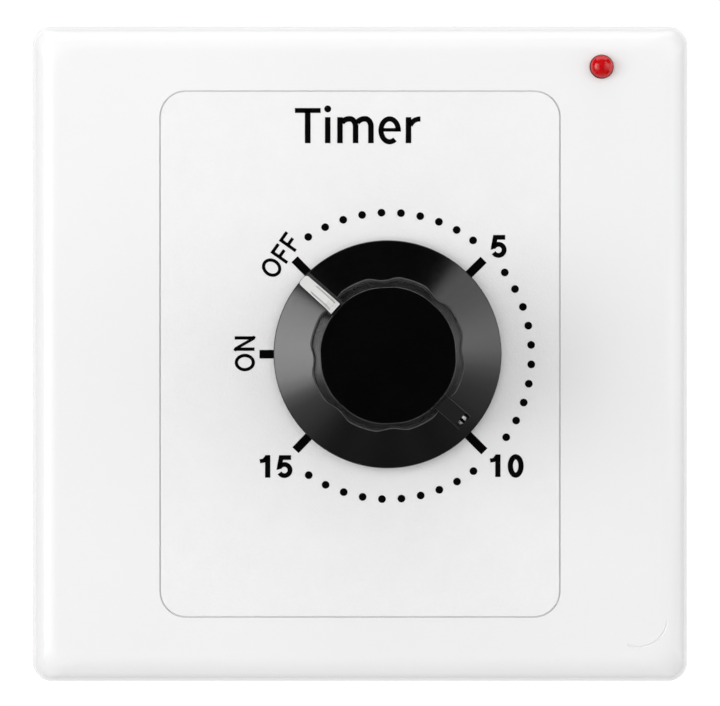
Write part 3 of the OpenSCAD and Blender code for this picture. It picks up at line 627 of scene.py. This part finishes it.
def grip_radius(a, z):
    """The fluted grip in plan: wide lobes with narrow flutes that fade towards the top."""
    t = (z - cone_top) / (knob_top - cone_top)
    depth = 0.46 - 0.38 * t
    off = abs((a * FLUTES / (2 * pi) + 0.5) % 1 - 0.5) * 2 * pi / FLUTES
    dip = depth * (0.5 + 0.5 * cos(pi * off / FLUTE_HALF)) if off < FLUTE_HALF else 0.0
    return GRIP_FOOT + (GRIP_TOP - GRIP_FOOT) * t - dip


def grip_ring(level, edge_in=0.0, edge_down=0.0):
    """One ring of the grip: level 0 is its foot on the cone and 1 its top.

    Below 0, the ring lies that many mm outside the foot, on the cone.
    """
    ring = []
    for i in range(KNOB_SIDES):
        a = 2 * pi * i / KNOB_SIDES
        foot_r = grip_radius(a, cone_z(GRIP_FOOT)) + FLARE
        if level < 0:
            r = foot_r - level
            ring.append((r * cos(a), r * sin(a), cone_z(r)))
            continue
        foot_z = cone_z(foot_r)
        z = foot_z + (knob_top - edge_down - foot_z) * level
        up = max(0.0, 1 - (z - foot_z) / 0.6)
        r = grip_radius(a, z) + FLARE * up ** 2 - edge_in
        ring.append((r * cos(a), r * sin(a), z))
    return ring


def make_knob_body():
    """Skirt, cone and fluted grip in one turned shape."""
    profile = fillet([(6.6, skirt_z + 0.5), (6.6, skirt_z + 1.6), (13.2, skirt_z + 0.4, 0.2),
                      (13.6, skirt_z, 0.1), (SKIRT_R, skirt_z, 0.12), (SKIRT_R, skirt_z + RIM_H, 0.25),
                      (GRIP_FOOT + 1.2, cone_z(GRIP_FOOT + 1.2))])
    rings = rounds(profile, KNOB_SIDES)
    rings += [grip_ring(level) for level in (-0.3, -0.06, -0.02, 0.0)]
    rings += [grip_ring(k * 0.008) for k in range(1, 6)]
    rings += [grip_ring(0.05 + 0.95 * k / 12) for k in range(12)]
    rings += [grip_ring(1.0, TOP_EDGE * (1 - cos(a)), TOP_EDGE * (1 - sin(a))) for a in quarter(5)]
    rings.append(grip_ring(1.0, TOP_EDGE + 0.5))
    return knob_loft("knob_body", rings)


def pointer_profile(out, back, over, end, top_in):
    """Side view of the pointer's place, from the grip's top to the rim: out of it by out, into it by back."""
    rim = SKIRT_R + end
    return [(GRIP_TOP + top_in, knob_top + over), (GRIP_TOP + out, knob_top + over),
            (GRIP_FOOT + 0.1 + out, cone_z(GRIP_FOOT) + 0.5 + out * 0.8),
            (rim, skirt_z + RIM_H + 0.05 + out), (rim, skirt_z + RIM_H - back),
            (GRIP_FOOT - 0.2 - back, cone_z(GRIP_FOOT) - back)]


def bar_along_x(name, profile, y1, y2, edge=0.0):
    """A bar across y from a profile in x and z, with rounded long edges."""
    sides = [(y1, 0.0), (y2, 0.0)]
    if edge:
        sides = [(y1 + edge * (1 - sin(a)), edge * (1 - cos(a))) for a in reversed(quarter(3))]
        sides += [(y2 - edge * (1 - sin(a)), edge * (1 - cos(a))) for a in quarter(3)]
    anticlockwise = list(reversed(profile))
    rings = [[(x, y, z) for x, z in reversed(inset(anticlockwise, shrink))] for y, shrink in sides]
    return knob_loft(name, rings)


STRIP_HALF, STRIP_END = 0.88, 14.85
RIB_HALF = 0.47
SLOT_SIDES = (-1.22, 0.98)
BOSS_HALF, BOSS_END, BOSS_RISE = 1.14, 13.45, 2.6
SCREW_POCKET = (-13.30, -12.60, -1.0, 0.78)


def make_knob():
    body = make_knob_body()
    inner, foot = GRIP_TOP - 1, skirt_z + 1.6
    boss = [(-inner, foot), (-BOSS_END, foot), (-BOSS_END, cone_z(BOSS_END) + BOSS_RISE),
            (-inner, cone_z(inner) + BOSS_RISE)]
    add(body, bar_along_x("boss", boss, -BOSS_HALF, BOSS_HALF, 0.12))
    x1, x2, y1, y2 = SCREW_POCKET
    cut(body, brick("pocket", x1, x2, y1, y2, skirt_z + RIM_H + 0.5, knob_top, 0.06, FACE @ IN_KNOB))
    near, far, rise = GRIP_FOOT + 0.1, BOSS_END - 0.1, BOSS_RISE - 0.18
    groove = [(-near, cone_z(near) + rise), (-far, cone_z(far) + rise), (-far, cone_z(far) + 3),
              (-near, cone_z(near) + 3)]
    cut(body, bar_along_x("boss_groove", groove, -BOSS_HALF + 0.14, -BOSS_HALF + 0.28))
    cut(body, bar_along_x("slot", pointer_profile(1.5, 0.75, 1.5, 1.0, -0.08), *SLOT_SIDES))
    cut(body, turned("bore", [(4.6, 0), (4.6, knob_top - 3.5)], 64, AX, AY))
    piece(body, "knob", angle=24, stands_for=["knob"])


def rib_rings(spine, half_width, section):
    """Rings across a rib with round ends; section is a list of (share of the half width, height)."""
    lengths = [0.0]
    for a, b in zip(spine, spine[1:]):
        lengths.append(lengths[-1] + (b - a).length)
    total, rings, steps = lengths[-1], [], 48
    for k in range(steps + 1):
        d = total * (1 - cos(pi * k / steps)) / 2
        i = max(j for j in range(len(lengths) - 1) if lengths[j] <= d or j == 0)
        here = spine[i].lerp(spine[i + 1], (d - lengths[i]) / max(1e-6, lengths[i + 1] - lengths[i]))
        along = (spine[i + 1] - spine[i]).normalized()
        out = Vector((-along.y, along.x))
        end_gap = min(1.0, min(d, total - d) / half_width)
        half = half_width * sqrt(max(0.03, 1 - (1 - end_gap) ** 2))
        rings.append([(here.x + out.x * h, share * half, here.y + out.y * h) for share, h in section])
    return rings


def make_pointer():
    """The white strip let into the knob, with a fine groove round its raised rib."""
    side_view = pointer_profile(0.28, 0.6, -0.1, STRIP_END - SKIRT_R, 0.2)
    strip = bar_along_x("knob_pointer_strip", side_view, -STRIP_HALF, STRIP_HALF, 0.03)
    taper, corner = 0.12, 0.42
    plan = fillet([(0, -STRIP_HALF - 0.1), (STRIP_END, -STRIP_HALF + taper, corner),
                   (STRIP_END, STRIP_HALF - taper, corner), (0, STRIP_HALF + 0.1)])
    combine(strip, slab("plan", plan, 0, knob_top + 1, 0, 0, FACE @ IN_KNOB), "INTERSECT")
    top, bend, rim = (Vector(p) for p in side_view[1:4])
    spine = fillet([tuple(top.lerp(bend, 0.35)), (*bend, 0.5), tuple(bend.lerp(rim, 0.6))], 8)
    spine = [Vector(p) for p in spine]
    channel = rib_rings(spine, RIB_HALF + 0.14, ((1, -0.2), (1, 0.3), (-1, 0.3), (-1, -0.2)))
    cut(strip, knob_loft("rib_channel", channel))
    piece(strip, "knob_pointer", stands_for=["knob_pointer"])
    crowned = ((1, -0.25), (1, 0.05), (0.9, 0.10), (-0.9, 0.10), (-1, 0.05), (-1, -0.25))
    rib = rib_rings(spine, RIB_HALF, crowned)
    piece(knob_loft("knob_pointer_rib", rib), "knob_pointer", angle=40)


make_knob()
make_pointer()

# ------------------------ screws

SCREW_SIDES = 24
RINGS_PER_TURN = 8


def thread_rings(r, z1, z2, pitch, depth):
    """Rings of a true helical thread: the groove moves round the shank as it climbs."""
    rows = max(4, round((z2 - z1) / pitch * RINGS_PER_TURN))
    rings = []
    for k in range(rows + 1):
        z = z1 + (z2 - z1) * k / rows
        ring = []
        for i, (c, s) in enumerate(circle(1, SCREW_SIDES)):
            phase = (z / pitch - i / SCREW_SIDES) % 1
            ridge = 1 - abs(2 * phase - 1)
            fade = min(1.0, (z - z1) / pitch)
            rad = r - depth * (1 - ridge) - 0.35 * r * (1 - fade)
            ring.append((rad * c, rad * s, z))
        rings.append(ring)
    return rings


def screw_data(head_r, head_h, shank_r, length, slot, cross=False):
    """A pan-head screw along z: domed head above 0, threaded shank below."""
    pitch = max(0.35, shank_r * 0.36)
    rings = thread_rings(shank_r, -length, -0.25, pitch, pitch * 0.42)
    dome = fillet([(head_r * 0.86, 0.0, 0.05), (head_r, 0.0, 0.08), (head_r, head_h * 0.45, head_h * 0.35),
                   (head_r * 0.55, head_h * 0.95, head_r * 0.3), (0.1, head_h)], 4)
    rings += rounds([(shank_r * 0.9, -0.02), (head_r * 0.8, 0.0)] + dome[1:], SCREW_SIDES)
    screw = loft("screw", rings, Matrix())
    depth = head_h * 0.45, head_h + 1, slot * 0.05, Matrix()
    cut(screw, brick("slot", -head_r - 1, head_r + 1, -slot / 2, slot / 2, *depth))
    if cross:
        cut(screw, brick("cross", -slot / 2, slot / 2, -head_r * 0.6, head_r * 0.6, *depth))
    return taken(screw)


def across(low, middle, high, count, r):
    """Where one, two or three heads of radius r sit between the ends of a box."""
    return {1: (middle,), 2: (low + r, high - r), 3: (low + r, middle, high - r)}[count]


def make_screws(node, columns, rows, out, turns, head_r, head_h, **size):
    """The screws of a node, laid out to fill its CAD box, with their heads out of the wall or into it."""
    b = Box(node)
    data = screw_data(head_r, head_h, **size)
    seat = b.z2 - head_h if out else b.z1 + head_h
    flip = Matrix() if out else Matrix.Rotation(pi, 4, "X")
    places = [(x, y, seat) for x in across(b.x1, b.cx, b.x2, columns, head_r)
              for y in across(b.y1, b.cy, b.y2, rows, head_r)]
    shells = [moved(data, Matrix.Translation(p) @ flip @ Matrix.Rotation(radians(a), 4, "Z"))
              for p, a in zip(places, turns)]
    piece(merged(node + "_threaded", shells), node, angle=38, stands_for=[node])


TERMINAL_HEAD = 3.0


def terminal_spots():
    """The x of the three terminal screws, and their common y."""
    b = Box("terminal_screws")
    return across(b.x1, b.cx, b.x2, 3, TERMINAL_HEAD), b.cy


def make_all_screws():
    make_screws("timer_fixing_screws", 1, 2, True, (20, 70), head_r=3.6, head_h=2.2, shank_r=1.98,
                length=4.4, slot=0.9, cross=True)
    make_screws("lamp_board_screws", 2, 1, True, (35, 110), head_r=1.5, head_h=0.8, shank_r=0.79,
                length=3.6, slot=0.4)
    make_screws("contact_block_screws", 1, 2, False, (15, 60), head_r=2.0, head_h=1.2, shank_r=0.99,
                length=6.8, slot=0.5)
    make_screws("terminal_screws", 3, 1, False, (25, -12, 58), head_r=TERMINAL_HEAD, head_h=2.0,
                shank_r=1.69, length=5.1, slot=0.8, cross=True)
    make_screws("case_screws", 2, 2, False, (10, 50, 85, -30), head_r=2.3, head_h=1.6, shank_r=1.24,
                length=15.0, slot=0.6, cross=True)


def make_grub_screw():
    """Slotted grub screw: from the arbor's flat out to the pocket in the boss."""
    r, tip, end, level, plain = 1.13, 2.6, 13.25, 13.0, 12.3
    rings = rounds([(r * 0.5, tip)], SCREW_SIDES) + thread_rings(r, tip + 0.1, plain - 0.2, 0.5, 0.16)
    rings += rounds([(1.05, plain), (1.05, end - 0.12), (0.93, end)], SCREW_SIDES)
    screw = loft("screw", rings, Matrix())
    cut(screw, brick("slot", -0.18, 0.18, -2, 2, end - 0.75, end + 1, 0.03, Matrix()))
    lie = (Matrix.Translation((0, 0, level)) @ Matrix.Rotation(-pi / 2, 4, "Y")
           @ Matrix.Rotation(radians(90), 4, "Z"))
    shell = solid("knob_grub_screw_slotted", *moved(taken(screw), IN_KNOB @ lie))
    piece(shell, "knob_grub_screw", angle=38, stands_for=["knob_grub_screw"])


make_all_screws()
make_grub_screw()

# ------------------------ pilot lamp and its board


def make_lamp():
    r, ball, tip = 1.47, 1.6, lamp.z2
    low = acos(r / ball)
    rises = [low + (pi / 2 - low) * k / 14 for k in range(14)]
    dome = [(ball * cos(a), tip - ball + ball * sin(a)) for a in rises]
    profile = fillet([(1.2, lamp.z1), (1.9, lamp.z1, 0.1), (1.9, lamp.z1 + 0.9, 0.1), (1.52, lamp.z1 + 1.0),
                      (r, tip - r - 0.3)]) + dome + [(0.04, tip)]
    body = turned("lamp_lens_body", profile, 56, lamp.cx, lamp.cy)
    piece(body, "lamp_lens", angle=15, stands_for=["lamp_lens"])


def make_board():
    b, holes = Box("lamp_board"), Box("lamp_board_screws")
    board = slab("lamp_board_laminate", rounded_rect(b.w, b.h, 0.5, 5, b.cx, b.cy), b.z1, b.z2, 0.05, 0.05)
    for x in (holes.x1 + 1.5, holes.x2 - 1.5):
        cut(board, turned("hole", [(1.0, 0), (1.0, 10)], 32, x, holes.cy))
    lead_x = [lamp.cx - 1.27, lamp.cx + 1.27]
    for x in lead_x:
        cut(board, turned("hole", [(0.42, 0), (0.42, 10)], 24, x, lamp.cy))
    piece(board, "lamp_board", stands_for=["lamp_board"])
    res, dio = Box("lamp_resistor"), Box("lamp_diode")
    joints = [(x, lamp.cy) for x in lead_x] + [(res.x1 + 0.25, res.cy), (res.x2 - 0.25, res.cy),
                                               (dio.x1 - 0.6, dio.cy), (dio.x2 + 0.6, dio.cy)]
    below = [(0.12, b.z1 - 0.48), (0.34, b.z1 - 0.38), (0.55, b.z1 - 0.12), (0.72, b.z1 - 0.02)]
    above = [(0.7, b.z2 - 0.01), (0.66, b.z2 + 0.05), (0.3, b.z2 + 0.16), (0.1, b.z2 + 0.18)]
    solder = [turned_data(profile, 24, x, y) for x, y in joints for profile in (below, above)]
    piece(merged("board_solder_joints", solder), body=WALL, slot="tinned", angle=50)
    line, thick = 0.12, 0.015
    print_lines = [stroke_data(rounded_rect(part.w + 0.5, part.h + 0.5, 0.2, 3, part.cx, part.cy), line,
                               True, b.z2, thick) for part in (res, dio)]
    print_lines.append(stroke_data(arc(lamp.cx, lamp.cy, 2.3, 2.3, 20, 340, 30), line, False, b.z2, thick))
    piece(merged("board_print", print_lines), body=WALL, finish=FINISH["white_urea"])


def lead_data(x, far, cy, cz, foot):
    """A component lead: straight out of the body, then bent down into the board."""
    return tube_data(smooth_path([(x, cy, cz), (far * 0.5 + x * 0.5, cy, cz), (far, cy, cz - 0.15),
                                  (far, cy, cz - 0.9), (far, cy, foot)], 5), 0.24, 12)


# name: (places along the resistor, colour)
BANDS = {
    "resistor_band_brown": ((-1.15, -0.35), (0.10, 0.035, 0.015)),
    "resistor_band_black": ((-0.75,), (0.01,) * 3),
    "resistor_band_gold": ((1.15,), (0.55, 0.40, 0.12)),
}


def make_board_parts():
    res, dio, board = Box("lamp_resistor"), Box("lamp_diode"), Box("lamp_board")
    body_r, along_x = 0.85, Matrix.Rotation(pi / 2, 4, "Y")
    centre = (res.cx, res.cy, res.z2 - body_r)
    place = Matrix.Translation(centre) @ along_x
    profile = fillet([(0.3, -2.0), (0.8, -2.0, 0.2), (body_r, -1.5, 0.4), (0.72, -0.95, 0.4),
                      (0.72, 0.95, 0.4), (body_r, 1.5, 0.4), (0.8, 2.0, 0.2), (0.3, 2.0)], 4)
    piece(solid("resistor_moulded_body", *moved(turned_data(profile, 32), place)), "lamp_resistor",
          angle=50, stands_for=["lamp_resistor"])
    for name, (offsets, colour) in BANDS.items():
        rings = []
        for d in offsets:
            r = 0.745 if abs(d) < 1 else 0.83
            section = [(r - 0.1, d - 0.16), (r + 0.01, d - 0.16), (r + 0.01, d + 0.16), (r - 0.1, d + 0.16)]
            rings.append(moved(ring_data(section, 32), place))
        paint = surface(name, colour, 0.35, vary=0.1, grain=3000, bump=0.1)
        piece(merged(name, rings), body=WALL, finish=paint)
    leads = [lead_data(res.cx + s * 1.9, res.cx + s * (res.w / 2 - 0.25), res.cy, centre[2], board.z1 - 0.3)
             for s in (-1, 1)]
    dz = dio.cz
    profile = fillet([(0.3, -1.8), (0.85, -1.8, 0.12), (0.85, 1.8, 0.12), (0.3, 1.8)], 4)
    place = Matrix.Translation((dio.cx, dio.cy, dz)) @ along_x
    piece(solid("diode_moulded_body", *moved(turned_data(profile, 32), place)), "lamp_diode", angle=50,
          stands_for=["lamp_diode"])
    band = [(0.8, 1.0), (0.86, 1.0), (0.86, 1.4), (0.8, 1.4)]
    piece(solid("diode_band", *moved(ring_data(band, 32), place)), body=WALL, slot="tinned")
    leads += [lead_data(dio.cx + s * 1.7, dio.cx + s * 2.4, dio.cy, dz, board.z1 - 0.3) for s in (-1, 1)]
    piece(merged("board_part_leads", leads), body=WALL, slot="tinned", angle=50)


LEAD_Z = -31.0
WIRE_R, CORE_R = 0.75, 0.4
WIRES = {
    "lamp_wire_live": [
        (26.2, 35.0, 2.9), (26.2, 35.0, 5.4), (24.2, 34.4, 5.9), (20, 33.6, 5.2), (14.5, 30, 4.4),
        (13, 27.9, 2), (13, 27.9, -4), (13, 27.9, -16), (13, 27.9, -26), (13.4, 26.9, -30.4),
        (14, 22, LEAD_Z), (15, 12, LEAD_Z), (15.5, 2, LEAD_Z), (15.5, -3.3, LEAD_Z)],
    "lamp_wire_neutral": [
        (26.2, 37.4, 2.9), (26.2, 37.4, 5.4), (24.0, 37.0, 5.9), (18, 34.8, 5.2), (12.5, 31, 4.6),
        (11, 27.9, 2), (11, 27.9, -4), (11, 27.9, -16), (11, 27.9, -26), (10.4, 26.9, -30.4),
        (9, 22, LEAD_Z), (4, 12, LEAD_Z), (0.6, 2, LEAD_Z), (0, -3.3, LEAD_Z)],
}


def make_wires():
    cores = []
    for node, knots in WIRES.items():
        path = smooth_path(knots, 12)
        bare = 8  # points of the path before the sleeve
        sleeve = path[bare:]
        radii = [WIRE_R - 0.12 * (k in (0, len(sleeve) - 1)) for k in range(len(sleeve))]
        piece(solid(node + "_sleeve", *tube_data(sleeve, radii, 20)), node, angle=60, stands_for=[node])
        cores.append(tube_data(path[:bare + 2], CORE_R, 12))
    piece(merged("wire_cores", cores), body=WALL, slot="tinned", angle=60)


def make_lugs():
    b, (spots, y) = Box("wire_lugs"), terminal_spots()
    shells = []
    for x in spots[1:]:
        outline = turn(arc(0, 0, 3.2, 3.2, 112, 428, 40) + [(1.15, 4.4), (-1.15, 4.4)], 0, x, y)
        ring = slab("lug", outline, b.z2 - 2.15, b.z2 - 1.6, 0.06, 0.06, Matrix())
        cut(ring, turned("hole", [(1.85, -60), (1.85, 0)], 32, x, y, Matrix()))
        shells.append(taken(ring))
        barrel = [(x, y + 4.2 + d, LEAD_Z) for d in (0, 0.15, 0.5, 0.85, 1.2, 1.6, 1.9)]
        shells.append(tube_data(barrel, [1.0, 1.12, 1.12, 0.98, 0.98, 1.1, 1.0], 20))
    piece(merged("wire_lugs_crimped", shells), "wire_lugs", angle=45, stands_for=["wire_lugs"])


make_lamp()
make_board()
make_board_parts()
make_wires()
make_lugs()

# ------------------------ movement and case details


def make_mainspring():
    """A smooth spiral of spring strip."""
    b = Box("mainspring")
    turns, strip, steps, rings = 6.5, 0.35, 64, []
    inner, outer, count = 3.2, 10.9, int(turns * steps)
    for i in range(count + 1):
        a = 2 * pi * i / steps
        r = inner + (outer - inner) * i / count
        c, s = cos(a), sin(a)
        section = ((r, b.z1 + 0.1), (r + 0.06, b.z1), (r + strip - 0.06, b.z1), (r + strip, b.z1 + 0.1),
                   (r + strip, b.z2 - 0.1), (r + strip - 0.06, b.z2), (r + 0.06, b.z2), (r, b.z2 - 0.1))
        rings.append([(AX + rad * c, AY + rad * s, z) for rad, z in reversed(section)])
    piece(loft("mainspring_strip", rings), "mainspring", angle=40, stands_for=["mainspring"])


def make_rivet(node, up):
    """A silver contact rivet with a slightly crowned face."""
    b = Box(node)
    h = b.y2 - b.y1
    profile = fillet([(0.8, 0.0), (1.3, 0.0, 0.04), (1.3, h * 0.6, 0.15), (0.9, h * 0.93, 0.6), (0.05, h)], 4)
    stand = Matrix.Translation((b.cx, b.y1 if up else b.y2, b.cz)) @ Matrix.Rotation(
        radians(-90 if up else 90), 4, "X")
    piece(solid(node + "_rivet", *moved(turned_data(profile, 40), stand)), node, angle=45,
          stands_for=[node])


def make_moving_blade():
    """Formed spring blade. It can't bend here, so its follower is kept low enough to clear the cam's rim."""
    b, cam = Box("moving_blade"), Box("switch_cam")
    thick, half, gap = 0.3, 2.2, 0.07
    rise = AY - (AX - cam.x1) - gap - thick - b.y1
    under = [(b.x1, b.y1)]
    for k in range(-12, 13):
        under.append((AX + half * k / 12, b.y1 + rise * (0.5 + 0.5 * cos(pi * k / 12))))
    under.append((b.x2, b.y1))
    outline = under + [(x, y + thick) for x, y in reversed(under)]
    piece(slab("moving_blade_formed", outline, b.z1, b.z2, 0.04, 0.04), "moving_blade", angle=45,
          stands_for=["moving_blade"])


def make_clamps():
    """Square saddle clamps with grooves that bite the wire."""
    b, side, shells = Box("terminal_clamps"), 6.8, []
    for x in terminal_spots()[0]:
        clamp = slab("clamp", rounded_rect(side, side, 0.6, 4, x, b.cy), b.z1, b.z2, 0.08, 0.08, Matrix())
        cut(clamp, turned("hole", [(1.78, b.z1 - 1), (1.78, b.z2 + 1)], 40, x, b.cy, Matrix()))
        for y in (-2.8, -2.3, 2.3, 2.8):
            groove = [(x - 4, b.cy + y, b.z1), (x + 4, b.cy + y, b.z1)]
            cut(clamp, solid("groove", *tube_data(groove, 0.12, 8), Matrix()))
        shells.append(taken(clamp))
    piece(merged("terminal_clamps_grooved", shells), "terminal_clamps", stands_for=["terminal_clamps"])


# L, N and 1 as strokes in millimetres, one for each terminal
TERMINAL_LETTERS = (
    [(0, 1.8), (0, 0), (1.1, 0)],
    [(0, 0), (0, 1.8), (1.2, 0), (1.2, 1.8)],
    [(0.2, 1.4), (0.7, 1.8), (0.7, 0)],
)
MOULDED_LINE = 0.22
PARTING_Z = -9.0


def make_case_marks():
    """Moulded letters by the terminals and a fine parting ridge round the case."""
    case, (spots, y) = Box("timer_case"), terminal_spots()
    back = Box("line_terminal").z1 + 0.79
    marks = []
    for x, path in zip(spots, TERMINAL_LETTERS):
        mirrored = [(x + 0.6 - px, y - 8.6 + py) for px, py in path]
        marks.append(stroke_data(mirrored, MOULDED_LINE, False, back - 0.18, 0.19))
    piece(merged("terminal_letters", marks), body=WALL, slot="case_black")
    rings = []
    for d, dz in ((0.0, -0.12), (0.07, 0.0), (0.0, 0.12), (-0.1, 0.0)):
        outline = rounded_rect(case.w + 2 * d, case.h + 2 * d, 3.0 + d, 8, case.cx, case.cy)
        rings.append([(x, y, PARTING_Z + dz) for x, y in outline])
    ridge = solid("case_parting_ridge", sum(rings, []), ring_faces(len(rings), len(rings[0])))
    piece(ridge, body=WALL, slot="case_black", angle=60)


make_mainspring()
make_moving_blade()
make_rivet("moving_contact", False)
make_rivet("fixed_contact", True)
make_clamps()
make_case_marks()

# ------------------------ CAD nodes that show as they are

# Width of the rounded edges in millimetres, where it isn't the usual one
EDGE = {"timer_case": 0.25, "base_plate": 0.15, "contact_block": 0.12, "switch_cam": 0.1}
USUAL_EDGE = 0.05
for node, obj in frame["nodes"].items():
    if obj.hide_render:
        continue
    obj.data.materials.clear()
    obj.data.materials.append(FINISH[SLOT[node]])
    weld = obj.modifiers.new("weld", "WELD")
    weld.merge_threshold = 2e-6
    flat = obj.modifiers.new("flat", "DECIMATE")
    flat.decimate_type, flat.angle_limit = "DISSOLVE", radians(1.0)
    soft = obj.modifiers.new("edges", "BEVEL")
    soft.width, soft.segments, soft.limit_method = EDGE.get(node, USUAL_EDGE) * MM, 2, "ANGLE"
    soft.angle_limit = radians(40)
    obj.data.shade_smooth()
    normals = obj.modifiers.new("normals", "WEIGHTED_NORMAL")
    normals.keep_sharp = True

# ------------------------ studio


def staged(obj, material, glossy=True, diffuse=True, shadow=True):
    obj.data.materials.append(material)
    obj.visible_glossy, obj.visible_diffuse, obj.visible_shadow = glossy, diffuse, shadow


def glow(name, strength):
    mat, _, bsdf = nodes_of(name)
    bsdf.inputs["Base Color"].default_value = (0, 0, 0, 1)
    bsdf.inputs["Emission Color"].default_value = (1, 1, 1, 1)
    bsdf.inputs["Emission Strength"].default_value = strength
    return mat


def direction(polar, azimuth):
    """A unit direction: polar counts from straight out, azimuth from 3 o'clock, anticlockwise."""
    p, a = radians(polar), radians(azimuth)
    return Vector((sin(p) * cos(a), -cos(p), sin(p) * sin(a)))


def area_light(name, polar, azimuth, size, radiance, distance=1.0, glossy=True):
    data = bpy.data.lights.new(name, "AREA")
    data.shape, data.size, data.size_y = "RECTANGLE", size[0], size[1]
    data.energy = radiance * pi * size[0] * size[1]
    obj = bpy.data.objects.new(name, data)
    scene.collection.objects.link(obj)
    obj.location = direction(polar, azimuth) * distance
    obj.rotation_euler = (-obj.location).to_track_quat("-Z", "Y").to_euler()
    obj.visible_glossy = glossy


# The stage, in metres. The floor lights the part too, the backdrop shows in reflections too, and the
# room is only looked at.
FLOOR_Z, BACK_Y, HALF = -0.45, 3.0, 4
CORNERS = ((-HALF, -HALF), (HALF, -HALF), (HALF, HALF), (-HALF, HALF))
ROOM = [(0.1, -4.4), (3.2, -3.1), (4.4, 0.0), (3.2, 3.1), (0.1, 4.4)]
PAPER, WHITE_OUT = 0.60, 1.02
floor = solid("floor", [(x, y, FLOOR_Z) for x, y in CORNERS], [(0, 1, 2, 3)], Matrix())
staged(floor, glow("floor_paper", PAPER), glossy=False)
backdrop = solid("backdrop", [(x, BACK_Y, z) for x, z in CORNERS], [(0, 1, 2, 3)], Matrix())
staged(backdrop, glow("backdrop_glow", WHITE_OUT), diffuse=False, shadow=False)
room = turned("room", ROOM, 32, to_row=Matrix())
staged(room, glow("room_glow", PAPER), glossy=False, diffuse=False, shadow=False)

world = bpy.data.worlds.new("studio")
scene.world = world
world.use_nodes = True
world.node_tree.nodes["Background"].inputs["Color"].default_value = (1, 1, 1, 1)
world.node_tree.nodes["Background"].inputs["Strength"].default_value = 0.247
world.cycles_visibility.glossy = False

# Soft boxes in a ring round the knob's skirt, with the radiance changing smoothly from azimuth to azimuth
RING_POLAR, RING_WIDTH, RING_STEP = 57.5, 0.5, 6.5
RING_RIGHT = ((-60, 0.09), (-46, 0.14), (-34, 0.34), (-24, 0.44), (-14, 0.65), (-6, 1.15), (1, 1.85),
              (11, 2.05), (21, 1.75), (31, 1.35), (42, 1.2), (53, 1.15))
RING_LEFT = ((145, 3.0), (152, 3.3), (162, 3.8), (174, 4.25), (184, 4.1), (194, 3.6), (200, 2.4),
             (206, 1.0), (213, 0.55), (223, 0.43), (233, 0.18), (242, 0.06), (300, 0.055))


def ring_of_boxes(knots):
    first, last = knots[0][0], knots[-1][0]
    count = round((last - first) / RING_STEP)
    span = (last - first) / count
    length = 2 * sin(radians(RING_POLAR)) * sin(radians(span / 2))
    for k in range(count):
        azimuth = first + (k + 0.5) * span
        (a1, r1), (a2, r2) = next((p, q) for p, q in zip(knots, knots[1:]) if azimuth <= q[0])
        radiance = r1 + (r2 - r1) * (azimuth - a1) / (a2 - a1)
        area_light(f"ring_box_{azimuth:.0f}", RING_POLAR, azimuth, (RING_WIDTH, length), radiance)


ring_of_boxes(RING_RIGHT)
ring_of_boxes(RING_LEFT)

# name: (polar, azimuth, (width, height), radiance)
CARDS = {
    "front_left_card": (32, 180, (0.3, 0.9), 1.3),
    "front_right_card": (32, 0, (0.3, 0.9), 0.65),
    "side_card": (86, 0, (0.5, 0.9), 1.25),
    "over_card": (92, 90, (1.4, 0.7), 1.45),
}
for name, (polar, azimuth, size, radiance) in CARDS.items():
    area_light(name, polar, azimuth, size, radiance)
area_light("top_fill", 45, 92, (0.6, 0.5), 0.9, 0.5, glossy=False)
area_light("under_card", 90, 270, (0.6, 0.3), 0.5, 0.42)

# The camera stands straight in front, a touch above, and fits the plate's scale in an image 720 wide
IMAGE_W = 720
PX_PER_MM = 7.606
DISTANCE = 0.80
MID_Z = 5.0
RISE = radians(0.52)
SHIFT_UP = 0.93 / IMAGE_W
cam_data = bpy.data.cameras.new("camera")
camera = bpy.data.objects.new("camera", cam_data)
scene.collection.objects.link(camera)
scene.camera = camera
cam_data.sensor_width = 36.0
cam_data.lens = cam_data.sensor_width * DISTANCE / (IMAGE_W / PX_PER_MM * MM)
cam_data.clip_start, cam_data.clip_end = 0.01, 20.0
aim = Vector((0.0, -MID_Z * MM, 0.0))
camera.location = aim + Vector((0.0, -1.0, sin(RISE))).normalized() * DISTANCE
camera.rotation_euler = (aim - camera.location).to_track_quat("-Z", "Y").to_euler()
cam_data.shift_y = SHIFT_UP

scene.view_settings.view_transform = "Standard"
scene.view_settings.look = "None"
